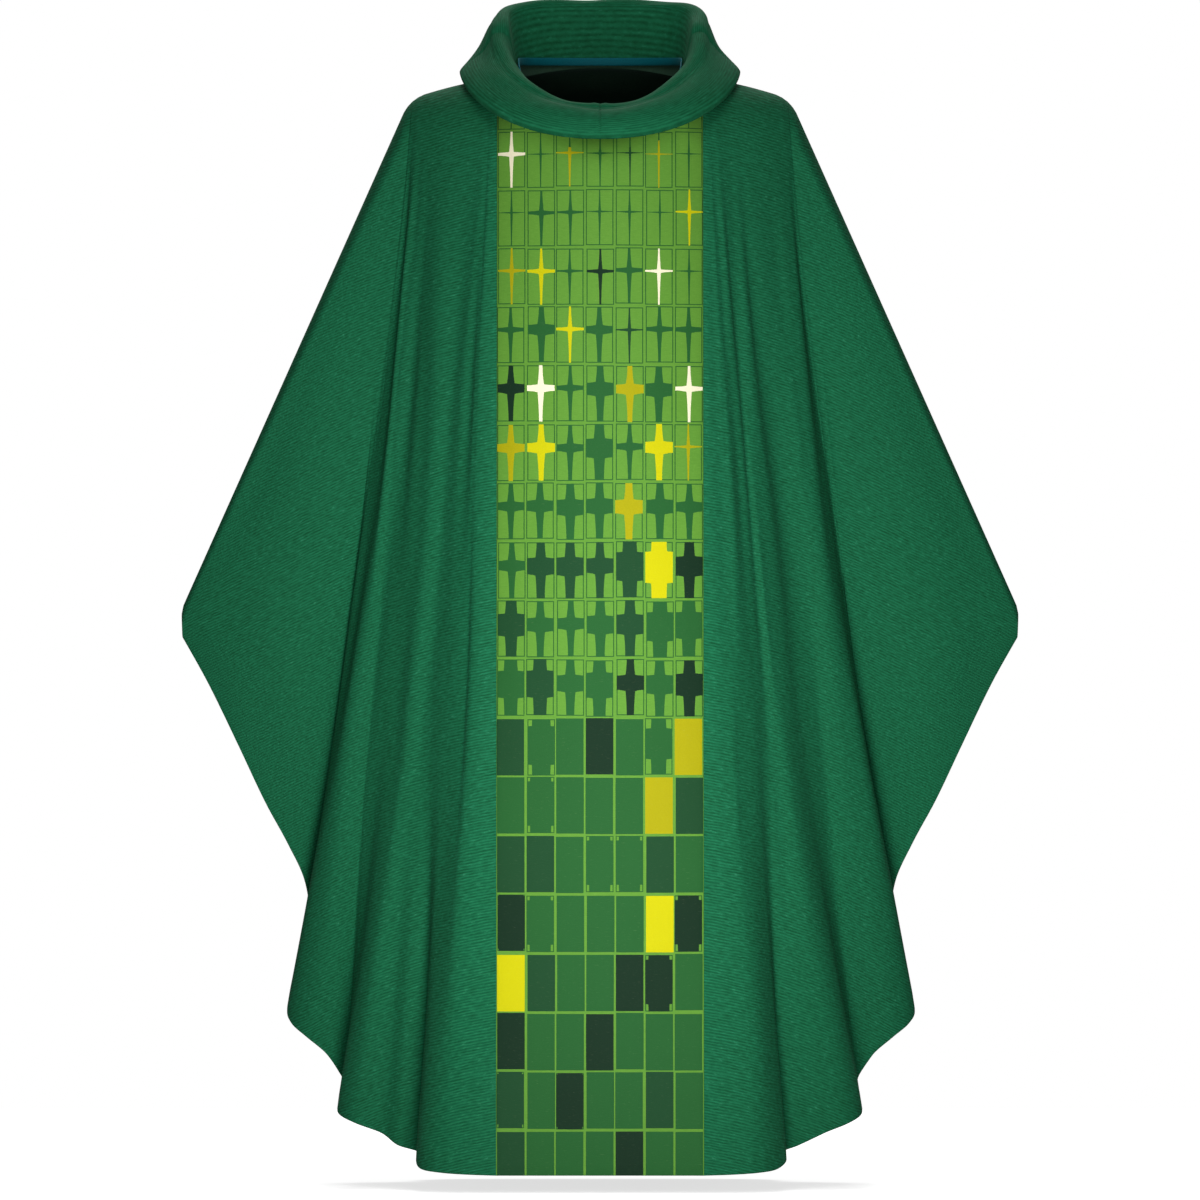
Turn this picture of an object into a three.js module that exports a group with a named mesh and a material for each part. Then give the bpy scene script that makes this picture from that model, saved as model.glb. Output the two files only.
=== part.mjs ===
// A gothic chasuble with a wide rolled collar and a patterned orphrey band, as it hangs on its wearer.
// Millimetres, +Z up, +X to the wearer's left, the front faces -Y.
// The origin is the middle of the neck, level with the line where neck and shoulders meet.
// Every cloth piece is a closed sheet cut from one draped surface. That surface is a fan of columns:
// each column leaves the neckline, the shoulder seam or the wing ridge, rounds over it, and runs to
// a point of the hem, so the folds spread from the shoulders and deepen on the way down.
import * as THREE from 'three';

// Cloth thicknesses and the clearances that sewn pieces keep
const CLOTH = 1.6;
const FACING_CLOTH = 1.0;
const TAPE_THICKNESS = 0.8;
const LAYER_GAP = 0.9;
const SEAM_GAP = 0.6;

// Neckline, an egg-shaped ring: half width, reach to the front and to the back, and its two heights
const NECK_HALF_WIDTH = 96;
const NECK_FRONT = 108;
const NECK_BACK = 88;
const NECK_FRONT_Z = -66;
const NECK_SIDE_Z = -2;
const NECK_BACK_Z = 12;
const NECK_DIP_POWER = 2;

// Shoulder points and wing tips
const SHOULDER = { out: 213, z: -27 };
const TIP = { out: 467, z: -606 };
const TIP_HEM_IN = 3;
const TIP_HEM_BELOW = 23;
const WING_HALF_DEPTH = 30;
const TIP_HALF_DEPTH = 9;
const RIDGE_ROUNDING = 46;

// Orphrey band and the chest
const ORPHREY_PAST_NECK = 19;
const ORPHREY_HALF_WIDTH = NECK_HALF_WIDTH + ORPHREY_PAST_NECK;
const CHEST_REACH = 146;
const CHEST_EDGE_REACH = 100;
const NECK_ROUNDING = 46;
const SHOULDER_ROUNDING = 92;

// Length: the middle of the hem hangs this far below the neck line, and stands this far out
const HEM_DROP = 1232;
const HEM_REACH = 213;
const HEM_EDGE_BACK = 2;
const BACK_FULLNESS = 0.94;

// The hem from the orphrey edge to the wing tip, as [top, out, reach, z]: where the column leaves the
// shoulder seam (0 at the orphrey edge, 1 at the shoulder point) or the wing ridge (1 to 2), and where
// it ends, in millimetres. The curve is stretched so that its first row meets the orphrey's corner and its
// last row the wing tip, wherever those are.
const SIDE_HEM = [
  [0.00, 115, 211, -1231],
  [0.06, 160, 208, -1230],
  [0.12, 197, 193, -1227],
  [0.18, 208, 172, -1223],
  [0.25, 200, 150, -1214],
  [0.33, 197, 132, -1206],
  [0.42, 222, 125, -1198],
  [0.53, 262, 122, -1184],
  [0.63, 288, 112, -1173],
  [0.71, 297, 94, -1162],
  [0.77, 288, 76, -1146],
  [0.82, 284, 62, -1124],
  [0.87, 304, 58, -1098],
  [0.91, 330, 56, -1078],
  [0.94, 347, 49, -1062],
  [0.97, 351, 38, -1044],
  [0.99, 341, 26, -1005],
  [1.00, 326, 18, -955],
  [1.05, 330, 20, -905],
  [1.15, 350, 24, -860],
  [1.35, 376, 26, -812],
  [1.60, 405, 23, -751],
  [1.82, 438, 16, -683],
  [2.00, 464, 10, -629],
];
const ORPHREY_HEM_KNOTS = 3;
const WING_KNOT = ORPHREY_HEM_KNOTS + 17;
const LAST_KNOT = ORPHREY_HEM_KNOTS + SIDE_HEM.length - 1;
const FOLD_WIDTH_KNOTS = 3;
const FOLDS_START = 0.08;
const FOLDS_FULL = 0.8;
const FLARE = 1.35;
const ROWS = 11;
const BAND_COLUMNS = 9;
const FALL_COLUMNS = 24;
const WING_COLUMNS = 9;
const ROW_CROWDING = 2.1;

// Hem facings, orphrey backings and seam tapes
const FACING_HEIGHT = 45;
const BACKING_FIRST_ROW = 3;
const SHOULDER_TAPE_WIDTH = 16;
const WING_TAPE_WIDTH = 9;
const TAPE_DROP = 4.2;
const TAPE_END_GAP = 9;

// Rolled collar: the ring of its fold and the ring of its lower edge. Each stands off the neckline or the
// chest by a clearance of its own, and in front the fold lies a share of the way from neckline to chest.
// The powers square off an ellipse, and dip sets how late the heights change.
const ROLL_FRONT_SHARE = 0.37;
const ROLL_RING = {
  half: NECK_HALF_WIDTH + 16,
  front: NECK_FRONT + ROLL_FRONT_SHARE * (CHEST_REACH - NECK_FRONT),
  back: NECK_BACK + 8,
  frontZ: NECK_FRONT_Z + 28,
  sideZ: NECK_SIDE_Z + 32,
  backZ: NECK_BACK_Z + 68,
  frontPower: 2,
  backPower: 3.2,
  dip: 1.3,
};
const EDGE_RING = {
  half: NECK_HALF_WIDTH + 62,
  front: CHEST_REACH + 12,
  back: NECK_BACK + 42,
  frontZ: NECK_FRONT_Z - 5,
  sideZ: NECK_SIDE_Z + 5,
  backZ: NECK_BACK_Z - 6,
  frontPower: 2.2,
  backPower: 2.3,
  dip: 1.4,
};
const STAND_INSET = 7;
const STAND_DROP = 1;
const COLLAR_CLOTH = 2.0;
const ROLL_RADIUS = 11;
const BELLY = 7;
const NECK_TAPE_HEIGHT = 9;
const NECK_TAPE_THICKNESS = 1.4;
const COLLAR_STEPS = 40;

const GREEN = { color: 0x1b6a48, roughness: 0.86, metalness: 0 };
const BAND = { color: 0x5c9432, roughness: 0.8, metalness: 0 };
const LINING = { color: 0x123f2b, roughness: 0.8, metalness: 0 };
const TEAL = { color: 0x045a6e, roughness: 0.6, metalness: 0 };

const lerp = (from, to, share) => from + (to - from) * share;
const smooth = (low, high, value) => {
  const share = Math.min(1, Math.max(0, (value - low) / (high - low)));
  return share * share * (3 - 2 * share);
};

// A quarter ellipse: level at the seam, upright once the cloth has dropped by the rounding
const roundOver = (drop, rounding) => {
  const share = Math.min(1, Math.max(0, drop / rounding));
  return Math.sqrt(1 - (1 - share) ** 2);
};

// Smooth curve through the rows of a list, read at a fractional row number
function readList(list, row) {
  const last = list.length - 1;
  const at = Math.min(last, Math.max(0, row));
  const k = Math.min(last - 1, Math.floor(at));
  const [a, b, c, d] = [k - 1, k, k + 1, k + 2].map((n) => list[Math.min(last, Math.max(0, n))]);
  const t = at - k;
  return b.map((value, n) => value + 0.5 * t * (c[n] - a[n]
    + t * (2 * a[n] - 5 * b[n] + 4 * c[n] - d[n] + t * (3 * (b[n] - c[n]) + d[n] - a[n]))));
}

// Where column u starts: the neckline ring up to u = 2, the shoulder seam to the wing, then the ridge
function columnTop(u, isFront) {
  if (u <= 2) {
    const angle = (u * Math.PI) / 4;
    const endZ = isFront ? NECK_FRONT_Z : NECK_BACK_Z;
    return {
      out: NECK_HALF_WIDTH * Math.sin(angle),
      reach: (isFront ? NECK_FRONT : NECK_BACK) * Math.cos(angle),
      z: lerp(NECK_SIDE_Z, endZ, Math.cos(angle) ** NECK_DIP_POWER),
    };
  }
  const seamZ = (out) => lerp(NECK_SIDE_Z, SHOULDER.z,
    ((out - NECK_HALF_WIDTH) / (SHOULDER.out - NECK_HALF_WIDTH)) ** 1.6);
  if (u <= ORPHREY_HEM_KNOTS) {
    const out = lerp(NECK_HALF_WIDTH, ORPHREY_HALF_WIDTH, u - 2);
    return { out, reach: 0, z: seamZ(out) };
  }
  const place = readList(SIDE_HEM, u - ORPHREY_HEM_KNOTS)[0];
  if (place <= 1) {
    const out = lerp(ORPHREY_HALF_WIDTH, SHOULDER.out, place);
    return { out, reach: 0, z: seamZ(out) };
  }
  return { out: lerp(SHOULDER.out, TIP.out, place - 1), reach: 0, z: lerp(SHOULDER.z, TIP.z, place - 1) };
}

// Where column u ends. growth 0 gives the hem with its folds ironed out, 1 the full folds
function columnHem(u, isFront, growth) {
  const fullness = isFront ? 1 : BACK_FULLNESS;
  if (u <= ORPHREY_HEM_KNOTS) {
    const { out } = columnTop(u, isFront);
    const edgeShare = (out / ORPHREY_HALF_WIDTH) ** 2;
    return { out, reach: fullness * (HEM_REACH - HEM_EDGE_BACK * edgeShare), z: -HEM_DROP };
  }
  const row = u - ORPHREY_HEM_KNOTS;
  const folded = readList(SIDE_HEM, row);
  const spread = Math.min(FOLD_WIDTH_KNOTS, row, LAST_KNOT - u);
  const around = [-1, -0.5, 0, 0.5, 1].map((k) => readList(SIDE_HEM, row + k * spread));
  const ironed = folded.map((_, n) => around.reduce((sum, knot) => sum + knot[n], 0) / around.length);
  const [, out, reach, z] = folded.map((value, n) => lerp(ironed[n], value, growth));
  const [, firstOut, firstReach, firstZ] = SIDE_HEM[0];
  const [, lastOut, , lastZ] = SIDE_HEM[SIDE_HEM.length - 1];
  const outShare = (out - firstOut) / (lastOut - firstOut);
  const zShare = (z - firstZ) / (lastZ - firstZ);
  return {
    out: lerp(ORPHREY_HALF_WIDTH, TIP.out - TIP_HEM_IN, outShare),
    reach: fullness * reach * ((HEM_REACH - HEM_EDGE_BACK) / firstReach),
    z: lerp(1 - HEM_DROP, TIP.z - TIP_HEM_BELOW, zShare),
  };
}

// How far the cloth stands from the middle once it has rounded over its top, and over what drop
function hang(u, top) {
  if (u <= ORPHREY_HEM_KNOTS) {
    const share = Math.min(1, top.out / ORPHREY_HALF_WIDTH);
    return {
      reach: lerp(CHEST_REACH, CHEST_EDGE_REACH, share ** 2),
      rounding: lerp(NECK_ROUNDING, SHOULDER_ROUNDING, share ** 3),
    };
  }
  if (u <= WING_KNOT) {
    const share = (top.out - ORPHREY_HALF_WIDTH) / (SHOULDER.out - ORPHREY_HALF_WIDTH);
    return {
      reach: lerp(CHEST_EDGE_REACH, WING_HALF_DEPTH, share ** 1.5),
      rounding: lerp(SHOULDER_ROUNDING, RIDGE_ROUNDING, share ** 1.5),
    };
  }
  const share = (top.out - SHOULDER.out) / (TIP.out - SHOULDER.out);
  return {
    reach: lerp(WING_HALF_DEPTH, TIP_HALF_DEPTH, share),
    rounding: lerp(RIDGE_ROUNDING, 16, share),
  };
}

// The draped surface: column u, v from 0 at its top to 1 at the hem, side 1 for the wearer's left
function drape(u, v, side, isFront) {
  const top = columnTop(u, isFront);
  const hem = columnHem(u, isFront, smooth(FOLDS_START, FOLDS_FULL, v));
  const { reach, rounding } = hang(u, top);
  const z = lerp(top.z, hem.z, v);
  const over = roundOver(top.z - z, Math.min(rounding, (top.z - hem.z) * 0.8));
  const flare = u <= ORPHREY_HEM_KNOTS ? v : lerp(v, v ** FLARE, smooth(0, 4, u - ORPHREY_HEM_KNOTS)
    * smooth(LAST_KNOT, WING_KNOT, u));
  const stand = lerp(top.reach, reach, over) + (hem.reach - reach) * v;
  return new THREE.Vector3(side * lerp(top.out, hem.out, flare), (isFront ? -1 : 1) * stand, z);
}

// The way out of the cloth at (u, v)
function clothNormal(u, v, side, isFront) {
  const step = 0.02;
  const acrossEnd = drape(Math.min(u + step, LAST_KNOT), v, side, isFront);
  const across = acrossEnd.sub(drape(Math.max(u - step, 0), v, side, isFront));
  const vStep = 0.004;
  const downEnd = drape(u, Math.min(v + vStep, 1), side, isFront);
  const down = downEnd.sub(drape(u, Math.max(v - vStep, 0), side, isFront));
  const normal = across.cross(down).normalize();
  return side * (isFront ? 1 : -1) > 0 ? normal.negate() : normal;
}

// The way down the cloth at (u, v)
function wayDown(u, v, side, isFront) {
  return drape(u, v + 0.003, side, isFront).sub(drape(u, v, side, isFront)).normalize();
}

// A closed body from a grid of outer points and the same grid of inner points
function closedSheet(outer, inner) {
  const columns = outer.length;
  const rows = outer[0].length;
  const positions = [];
  const quads = [];
  for (const grid of [outer, inner]) {
    for (const column of grid) {
      for (const point of column) positions.push(point.x, point.y, point.z);
    }
  }
  const layer = columns * rows;
  const at = (c, r, isInner) => (isInner ? layer : 0) + c * rows + r;
  for (let c = 0; c < columns - 1; c += 1) {
    for (let r = 0; r < rows - 1; r += 1) {
      quads.push([at(c, r), at(c, r + 1), at(c + 1, r + 1), at(c + 1, r)]);
      quads.push([at(c, r, true), at(c + 1, r, true), at(c + 1, r + 1, true), at(c, r + 1, true)]);
    }
  }
  for (let c = 0; c < columns - 1; c += 1) {
    quads.push([at(c, 0), at(c + 1, 0), at(c + 1, 0, true), at(c, 0, true)]);
    quads.push([at(c + 1, rows - 1), at(c, rows - 1), at(c, rows - 1, true), at(c + 1, rows - 1, true)]);
  }
  const last = columns - 1;
  for (let r = 0; r < rows - 1; r += 1) {
    quads.push([at(0, r + 1), at(0, r), at(0, r, true), at(0, r + 1, true)]);
    quads.push([at(last, r), at(last, r + 1), at(last, r + 1, true), at(last, r, true)]);
  }
  return solidFromQuads(positions, quads);
}

// Triangles that all point out: the signed volume says whether the quads have to be turned round
function solidFromQuads(positions, quads) {
  const index = quads.flatMap(([a, b, c, d]) => [a, b, c, a, c, d]);
  const point = (n) => new THREE.Vector3().fromArray(positions, 3 * n);
  let volume = 0;
  for (let n = 0; n < index.length; n += 3) {
    volume += point(index[n]).dot(point(index[n + 1]).cross(point(index[n + 2])));
  }
  if (volume < 0) index.reverse();
  const geometry = new THREE.BufferGeometry();
  geometry.setAttribute('position', new THREE.Float32BufferAttribute(positions, 3));
  geometry.setIndex(index);
  geometry.computeVertexNormals();
  return geometry;
}

// A layer of the drape between columns uFrom and uTo. depth is how far its outer face lies inside the
// cloth's outer face; edge insets keep neighbouring panels a seam gap apart
function clothLayer(options) {
  const { side, isFront, uFrom, uTo, columns, rows, thickness } = options;
  const { depth = 0, insetFrom = SEAM_GAP / 2, insetTo = SEAM_GAP / 2, topInset = SEAM_GAP / 2 } = options;
  const outer = [];
  const inner = [];
  for (let c = 0; c <= columns; c += 1) {
    const u = lerp(uFrom, uTo, c / columns);
    const outerColumn = [];
    const innerColumn = [];
    for (const [r, v] of rows.entries()) {
      const point = drape(u, v, side, isFront);
      const normal = clothNormal(u, v, side, isFront);
      if (v === 0) normal.setY(0).normalize();
      const inset = c === 0 ? insetFrom : (c === columns ? -insetTo : 0);
      if (inset !== 0) {
        const ahead = drape(Math.min(u + 0.05, LAST_KNOT), v, side, isFront);
        const across = ahead.sub(drape(Math.max(u - 0.05, 0), v, side, isFront)).normalize();
        point.addScaledVector(across, inset);
      }
      if (r === 0 && topInset > 0) {
        point.addScaledVector(wayDown(u, v, side, isFront), topInset);
      }
      outerColumn.push(point.clone().addScaledVector(normal, -depth));
      innerColumn.push(point.clone().addScaledVector(normal, -depth - thickness));
    }
    outer.push(outerColumn);
    inner.push(innerColumn);
  }
  return closedSheet(outer, inner);
}

// Rows from the top to the hem, crowded at the top where the cloth turns over the shoulder
function fullRows(count) {
  return Array.from({ length: count + 1 }, (_, n) => (n / count) ** ROW_CROWDING);
}

const chasuble = new THREE.Group();
chasuble.name = 'chasuble';

function addPiece(name, geometry, finish) {
  const piece = new THREE.Mesh(geometry, new THREE.MeshStandardMaterial(finish));
  piece.name = name;
  chasuble.add(piece);
  return piece;
}

// Orphrey bands, each one panel across the middle, with a backing behind it and a hem facing
function bandLayer({ isFront, depth, thickness, rows, edgeInset = SEAM_GAP / 2, halfColumns = BAND_COLUMNS }) {
  const grids = [-1, 1].map((side) => {
    const outer = [];
    const inner = [];
    for (let c = 0; c <= halfColumns; c += 1) {
      const u = (ORPHREY_HEM_KNOTS * c) / BAND_COLUMNS;
      const outerColumn = [];
      const innerColumn = [];
      for (const [r, v] of rows.entries()) {
        const point = drape(u, v, side, isFront);
        const normal = clothNormal(u, v, side, isFront);
        if (c === halfColumns) point.x -= side * edgeInset;
        if (r === 0) point.addScaledVector(wayDown(u, v, side, isFront), SEAM_GAP / 2);
        outerColumn.push(point.clone().addScaledVector(normal, -depth));
        innerColumn.push(point.clone().addScaledVector(normal, -depth - thickness));
      }
      outer.push(outerColumn);
      inner.push(innerColumn);
    }
    return { outer, inner };
  });
  const join = (layer) => [...grids[0][layer].slice(1).reverse(), ...grids[1][layer]];
  return closedSheet(join('outer'), join('inner'));
}

const facingTop = 1 - FACING_HEIGHT / HEM_DROP;
const facingRows = [facingTop, (1 + facingTop) / 2, 1];
const innerDepth = CLOTH + LAYER_GAP;
const panelRows = fullRows(ROWS);
const backingRows = [...panelRows.slice(BACKING_FIRST_ROW, -1), facingTop - (2 * SEAM_GAP) / HEM_DROP];
for (const isFront of [true, false]) {
  const face = isFront ? 'front' : 'back';
  const behind = { isFront, depth: innerDepth, thickness: FACING_CLOTH };
  addPiece(`${face}_orphrey`, bandLayer({ isFront, depth: 0, thickness: CLOTH, rows: panelRows }), BAND);
  addPiece(`${face}_orphrey_backing`,
    bandLayer({ ...behind, rows: backingRows, edgeInset: 0, halfColumns: BAND_COLUMNS - 1 }), LINING);
  addPiece(`${face}_orphrey_hem_facing`, bandLayer({ ...behind, rows: facingRows }), LINING);
}

// Side panels: the fall that hangs from the shoulder, and the wing that lies over the arm
for (const side of [1, -1]) {
  const hand = side > 0 ? 'left' : 'right';
  for (const isFront of [true, false]) {
    const face = isFront ? 'front' : 'back';
    const fall = { side, isFront, uFrom: ORPHREY_HEM_KNOTS, uTo: WING_KNOT, columns: FALL_COLUMNS };
    const wing = { side, isFront, uFrom: WING_KNOT, uTo: LAST_KNOT, columns: WING_COLUMNS };
    addPiece(`${hand}_${face}_fall`, clothLayer({ ...fall, rows: panelRows, thickness: CLOTH }), GREEN);
    addPiece(`${hand}_${face}_wing`, clothLayer({ ...wing, rows: panelRows, thickness: CLOTH }), GREEN);
    const facing = { rows: facingRows, thickness: FACING_CLOTH, depth: innerDepth, topInset: 0 };
    addPiece(`${hand}_${face}_fall_hem_facing`, clothLayer({ ...fall, ...facing }), LINING);
    addPiece(`${hand}_${face}_wing_hem_facing`,
      clothLayer({ ...wing, uTo: LAST_KNOT - 1, columns: WING_COLUMNS - 1, ...facing }), LINING);
  }
}

// Tapes under the shoulder seam and under the seam along each wing's ridge
function seamTape(name, from, to, width, side) {
  const along = new THREE.Vector3(to.out - from.out, 0, to.z - from.z);
  const length = along.length() - 2 * TAPE_END_GAP;
  const middle = new THREE.Vector3((from.out + to.out) / 2, 0, (from.z + to.z) / 2);
  const inward = new THREE.Vector3(along.z, 0, -along.x).normalize();
  middle.addScaledVector(inward, TAPE_DROP + TAPE_THICKNESS / 2);
  const tape = addPiece(name, new THREE.BoxGeometry(length, width, TAPE_THICKNESS), LINING);
  tape.position.set(side * middle.x, 0, middle.z);
  tape.rotation.y = -side * Math.atan2(along.z, along.x);
}

for (const side of [1, -1]) {
  const hand = side > 0 ? 'left' : 'right';
  const seamStart = columnTop(ORPHREY_HEM_KNOTS, true);
  const seamEnd = columnTop(WING_KNOT, true);
  seamTape(`${hand}_shoulder_tape`, seamStart, seamEnd, SHOULDER_TAPE_WIDTH, side);
  seamTape(`${hand}_wing_tape`, SHOULDER, TIP, WING_TAPE_WIDTH, side);
}

// Collar rings. Angle 0 is the middle of the front, half a turn is the middle of the back, and the back
// half is squarer than an ellipse
function ringPoint(ring, angle) {
  const cosine = Math.cos(angle);
  const sine = Math.sin(angle);
  const isFront = cosine >= 0;
  const power = isFront ? ring.frontPower : ring.backPower;
  const size = (Math.abs(cosine) ** power + Math.abs(sine) ** power) ** (-1 / power);
  const endZ = isFront ? ring.frontZ : ring.backZ;
  const reach = (isFront ? -ring.front : ring.back) * Math.abs(cosine) * size;
  const heightShare = Math.min(1, Math.abs(cosine) * size) ** ring.dip;
  return new THREE.Vector3(ring.half * sine * size, reach, lerp(ring.sideZ, endZ, heightShare));
}

const STAND_RING = {
  half: NECK_HALF_WIDTH - STAND_INSET,
  front: NECK_FRONT - STAND_INSET,
  back: NECK_BACK - STAND_INSET,
  frontZ: NECK_FRONT_Z - STAND_DROP,
  sideZ: NECK_SIDE_Z - STAND_DROP,
  backZ: NECK_BACK_Z - STAND_DROP,
  frontPower: 2,
  backPower: 2,
  dip: NECK_DIP_POWER,
};

// The face of the collar at one angle, as a path: up the stand, over the roll and down to the lower edge
function collarPath(angle) {
  const foot = ringPoint(STAND_RING, angle);
  const fold = ringPoint(ROLL_RING, angle);
  const edge = ringPoint(EDGE_RING, angle);
  const outward = new THREE.Vector3(fold.x, fold.y, 0).normalize();
  const centre = fold.clone();
  centre.z -= ROLL_RADIUS;
  const turn = (degrees) => {
    const a = THREE.MathUtils.degToRad(degrees);
    const point = centre.clone().addScaledVector(outward, -ROLL_RADIUS * Math.cos(a));
    point.z += ROLL_RADIUS * Math.sin(a);
    return point;
  };
  const belly = centre.clone().lerp(edge, 0.5).addScaledVector(outward, BELLY);
  return [foot, foot.clone().lerp(turn(0), 0.5), ...[0, 45, 90, 135, 180].map(turn), belly, edge];
}

// The same path moved into the fold by a depth, square to the collar's face
function insetPath(angle, depth) {
  const here = collarPath(angle);
  const step = 0.01;
  const before = collarPath(angle - step);
  const after = collarPath(angle + step);
  return here.map((point, k) => {
    const along = here[Math.min(k + 1, here.length - 1)].clone().sub(here[Math.max(k - 1, 0)]);
    const round = after[k].clone().sub(before[k]);
    return point.clone().addScaledVector(round.cross(along).normalize(), depth);
  });
}

// A ring whose section is the closed outline that sectionAt gives for each angle
function ringSolid(sectionAt) {
  const sections = Array.from({ length: COLLAR_STEPS }, (_, n) => sectionAt((2 * Math.PI * n) / COLLAR_STEPS));
  const count = sections[0].length;
  const positions = sections.flat().flatMap((point) => [point.x, point.y, point.z]);
  const quads = [];
  for (let n = 0; n < COLLAR_STEPS; n += 1) {
    const next = (n + 1) % COLLAR_STEPS;
    for (let k = 0; k < count; k += 1) {
      const after = (k + 1) % count;
      quads.push([n * count + k, n * count + after, next * count + after, next * count + k]);
    }
  }
  return solidFromQuads(positions, quads);
}

// A layer of the collar from point firstPoint to point lastPoint of its path
const collarLayer = (depth, thickness, firstPoint, lastPoint) => ringSolid((angle) => [
  ...insetPath(angle, depth).slice(firstPoint, lastPoint + 1),
  ...insetPath(angle, depth + thickness).slice(firstPoint, lastPoint + 1).reverse(),
]);
addPiece('collar_cloth', collarLayer(0, COLLAR_CLOTH, 0, 8), GREEN);
addPiece('collar_interlining', collarLayer(COLLAR_CLOTH + LAYER_GAP, FACING_CLOTH, 2, 6), LINING);
addPiece('neck_tape', ringSolid((angle) => {
  const foot = ringPoint(STAND_RING, angle);
  const inward = new THREE.Vector3(-foot.x, -foot.y, 0).normalize();
  const near = foot.clone().addScaledVector(inward, SEAM_GAP).add(new THREE.Vector3(0, 0, -SEAM_GAP));
  const far = near.clone().addScaledVector(inward, NECK_TAPE_THICKNESS);
  const up = new THREE.Vector3(0, 0, NECK_TAPE_HEIGHT);
  return [near, far, far.clone().add(up), near.clone().add(up)];
}), TEAL);

export default chasuble;
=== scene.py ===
# %% [markdown]
# # A chasuble: how to model and shade hanging cloth
# A chasuble is a wide vestment that hangs from the shoulders. It is cloth and nothing else, so the whole
# lesson is about cloth: how folds are shaped and how a woven surface is shaded. The imported CAD model gives
# the frame, and every piece here stands for CAD nodes.

import math

import bpy
import numpy as np
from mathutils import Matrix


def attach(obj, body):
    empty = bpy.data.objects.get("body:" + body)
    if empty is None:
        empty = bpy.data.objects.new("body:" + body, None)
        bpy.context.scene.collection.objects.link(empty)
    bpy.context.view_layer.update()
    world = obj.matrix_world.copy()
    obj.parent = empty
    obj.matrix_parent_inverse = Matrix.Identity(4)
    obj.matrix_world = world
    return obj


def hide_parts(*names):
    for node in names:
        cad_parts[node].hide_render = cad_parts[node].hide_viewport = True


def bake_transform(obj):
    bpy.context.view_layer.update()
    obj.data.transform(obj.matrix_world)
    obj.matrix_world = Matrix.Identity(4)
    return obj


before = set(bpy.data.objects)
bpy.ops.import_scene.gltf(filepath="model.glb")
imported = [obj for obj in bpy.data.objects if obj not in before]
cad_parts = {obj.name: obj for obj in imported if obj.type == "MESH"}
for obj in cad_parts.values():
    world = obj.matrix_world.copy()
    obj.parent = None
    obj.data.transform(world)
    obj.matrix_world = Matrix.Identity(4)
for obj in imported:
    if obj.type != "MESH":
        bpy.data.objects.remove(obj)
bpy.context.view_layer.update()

# %% [markdown]
# ## Sizes
# All lengths are metres in the frame of the CAD model: +X is the wearer's left, -Y the front and +Z up.
# Naming the sizes once lets the cloth, its facings and its collar follow one another.

# %% Name the sizes
NECK = {"half": 0.096, "front": 0.108, "back": 0.088, "front_z": -0.066, "side_z": -0.002, "back_z": 0.012}
BAND_HALF = 0.115
SHOULDER = (0.213, -0.027)
TIP = (0.472, -0.606)
CHEST_REACH = 0.146
CHEST_EDGE_REACH = 0.100
WING_DEPTH = 0.040
TIP_DEPTH = 0.009
ROUNDING = {"middle": 0.046, "band_edge": 0.092, "shoulder": 0.046, "tip": 0.016}
HEM_DROP = 1.232
HEM_REACH = 0.213
HEM_LIFT = 0.0078
HEM_BOW = 0.002
LONGEST_ROUNDING = 0.8
BACK_FULLNESS = 0.94
CLOTH = 0.0016
FACING = 0.0010
FACING_DEPTH = CLOTH + 0.0009
FACING_TOP = 1 - 0.045 / HEM_DROP

# %% [markdown]
# ## The folds as a list
# A fold that hangs from a shoulder is a fan: its edges start close together at the top and spread to the
# hem. One row of the list is one line of that fan. It says where the line starts (0 at the band, 1 at the
# shoulder point, 2 at the wing tip), where it ends at the hem (out, forward, height), and how strongly it
# flares. A line that comes back towards the middle makes the cloth turn under itself, which gives
# a fold its edge. Six rows make a fold, and two more tables say between which shares of the height it
# turns under and deepens: most folds are soft swells high up and only turn under near the hem. A cloth
# simulation would also give folds, but not these ones in these places, so the shape is modelled directly.

# %% List the fold lines
LEFT_FOLDS = np.array([
    [0.00, 0.115, 0.211, -1.232, 1.00],
    [0.03, 0.146, 0.209, -1.231, 1.00],
    [0.05, 0.176, 0.199, -1.229, 1.00],
    [0.08, 0.197, 0.181, -1.225, 1.00],
    [0.11, 0.206, 0.157, -1.216, 1.05],
    [0.14, 0.203, 0.132, -1.206, 1.10],
    [0.18, 0.222, 0.132, -1.198, 1.20],
    [0.23, 0.250, 0.131, -1.185, 1.30],
    [0.29, 0.276, 0.120, -1.174, 1.40],
    [0.35, 0.292, 0.099, -1.162, 1.40],
    [0.42, 0.291, 0.076, -1.146, 1.40],
    [0.54, 0.288, 0.062, -1.124, 1.35],
    [0.68, 0.304, 0.065, -1.098, 1.30],
    [0.78, 0.327, 0.064, -1.078, 1.30],
    [0.86, 0.345, 0.053, -1.062, 1.30],
    [0.92, 0.351, 0.037, -1.044, 1.30],
    [0.965, 0.342, 0.020, -1.005, 1.30],
    [1.00, 0.326, 0.008, -0.955, 1.30],
    [1.05, 0.330, 0.010, -0.905, 1.25],
    [1.15, 0.350, 0.014, -0.860, 1.20],
    [1.35, 0.376, 0.019, -0.812, 1.15],
    [1.60, 0.405, 0.020, -0.751, 1.10],
    [1.82, 0.438, 0.016, -0.683, 1.00],
    [2.00, 0.4675, 0.010, -0.630, 1.00],
])
TURN_GROWTH = np.repeat([[0.50, 1.00], [0.50, 1.00], [0.30, 0.90], [0.00, 0.40]], 6, axis=0)
DEPTH_GROWTH = np.repeat([[0.10, 0.85], [0.00, 0.55], [0.00, 0.45], [0.00, 0.40]], 6, axis=0)
LEFT_FOLDS = np.concatenate([LEFT_FOLDS, TURN_GROWTH, DEPTH_GROWTH], axis=1)
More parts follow.
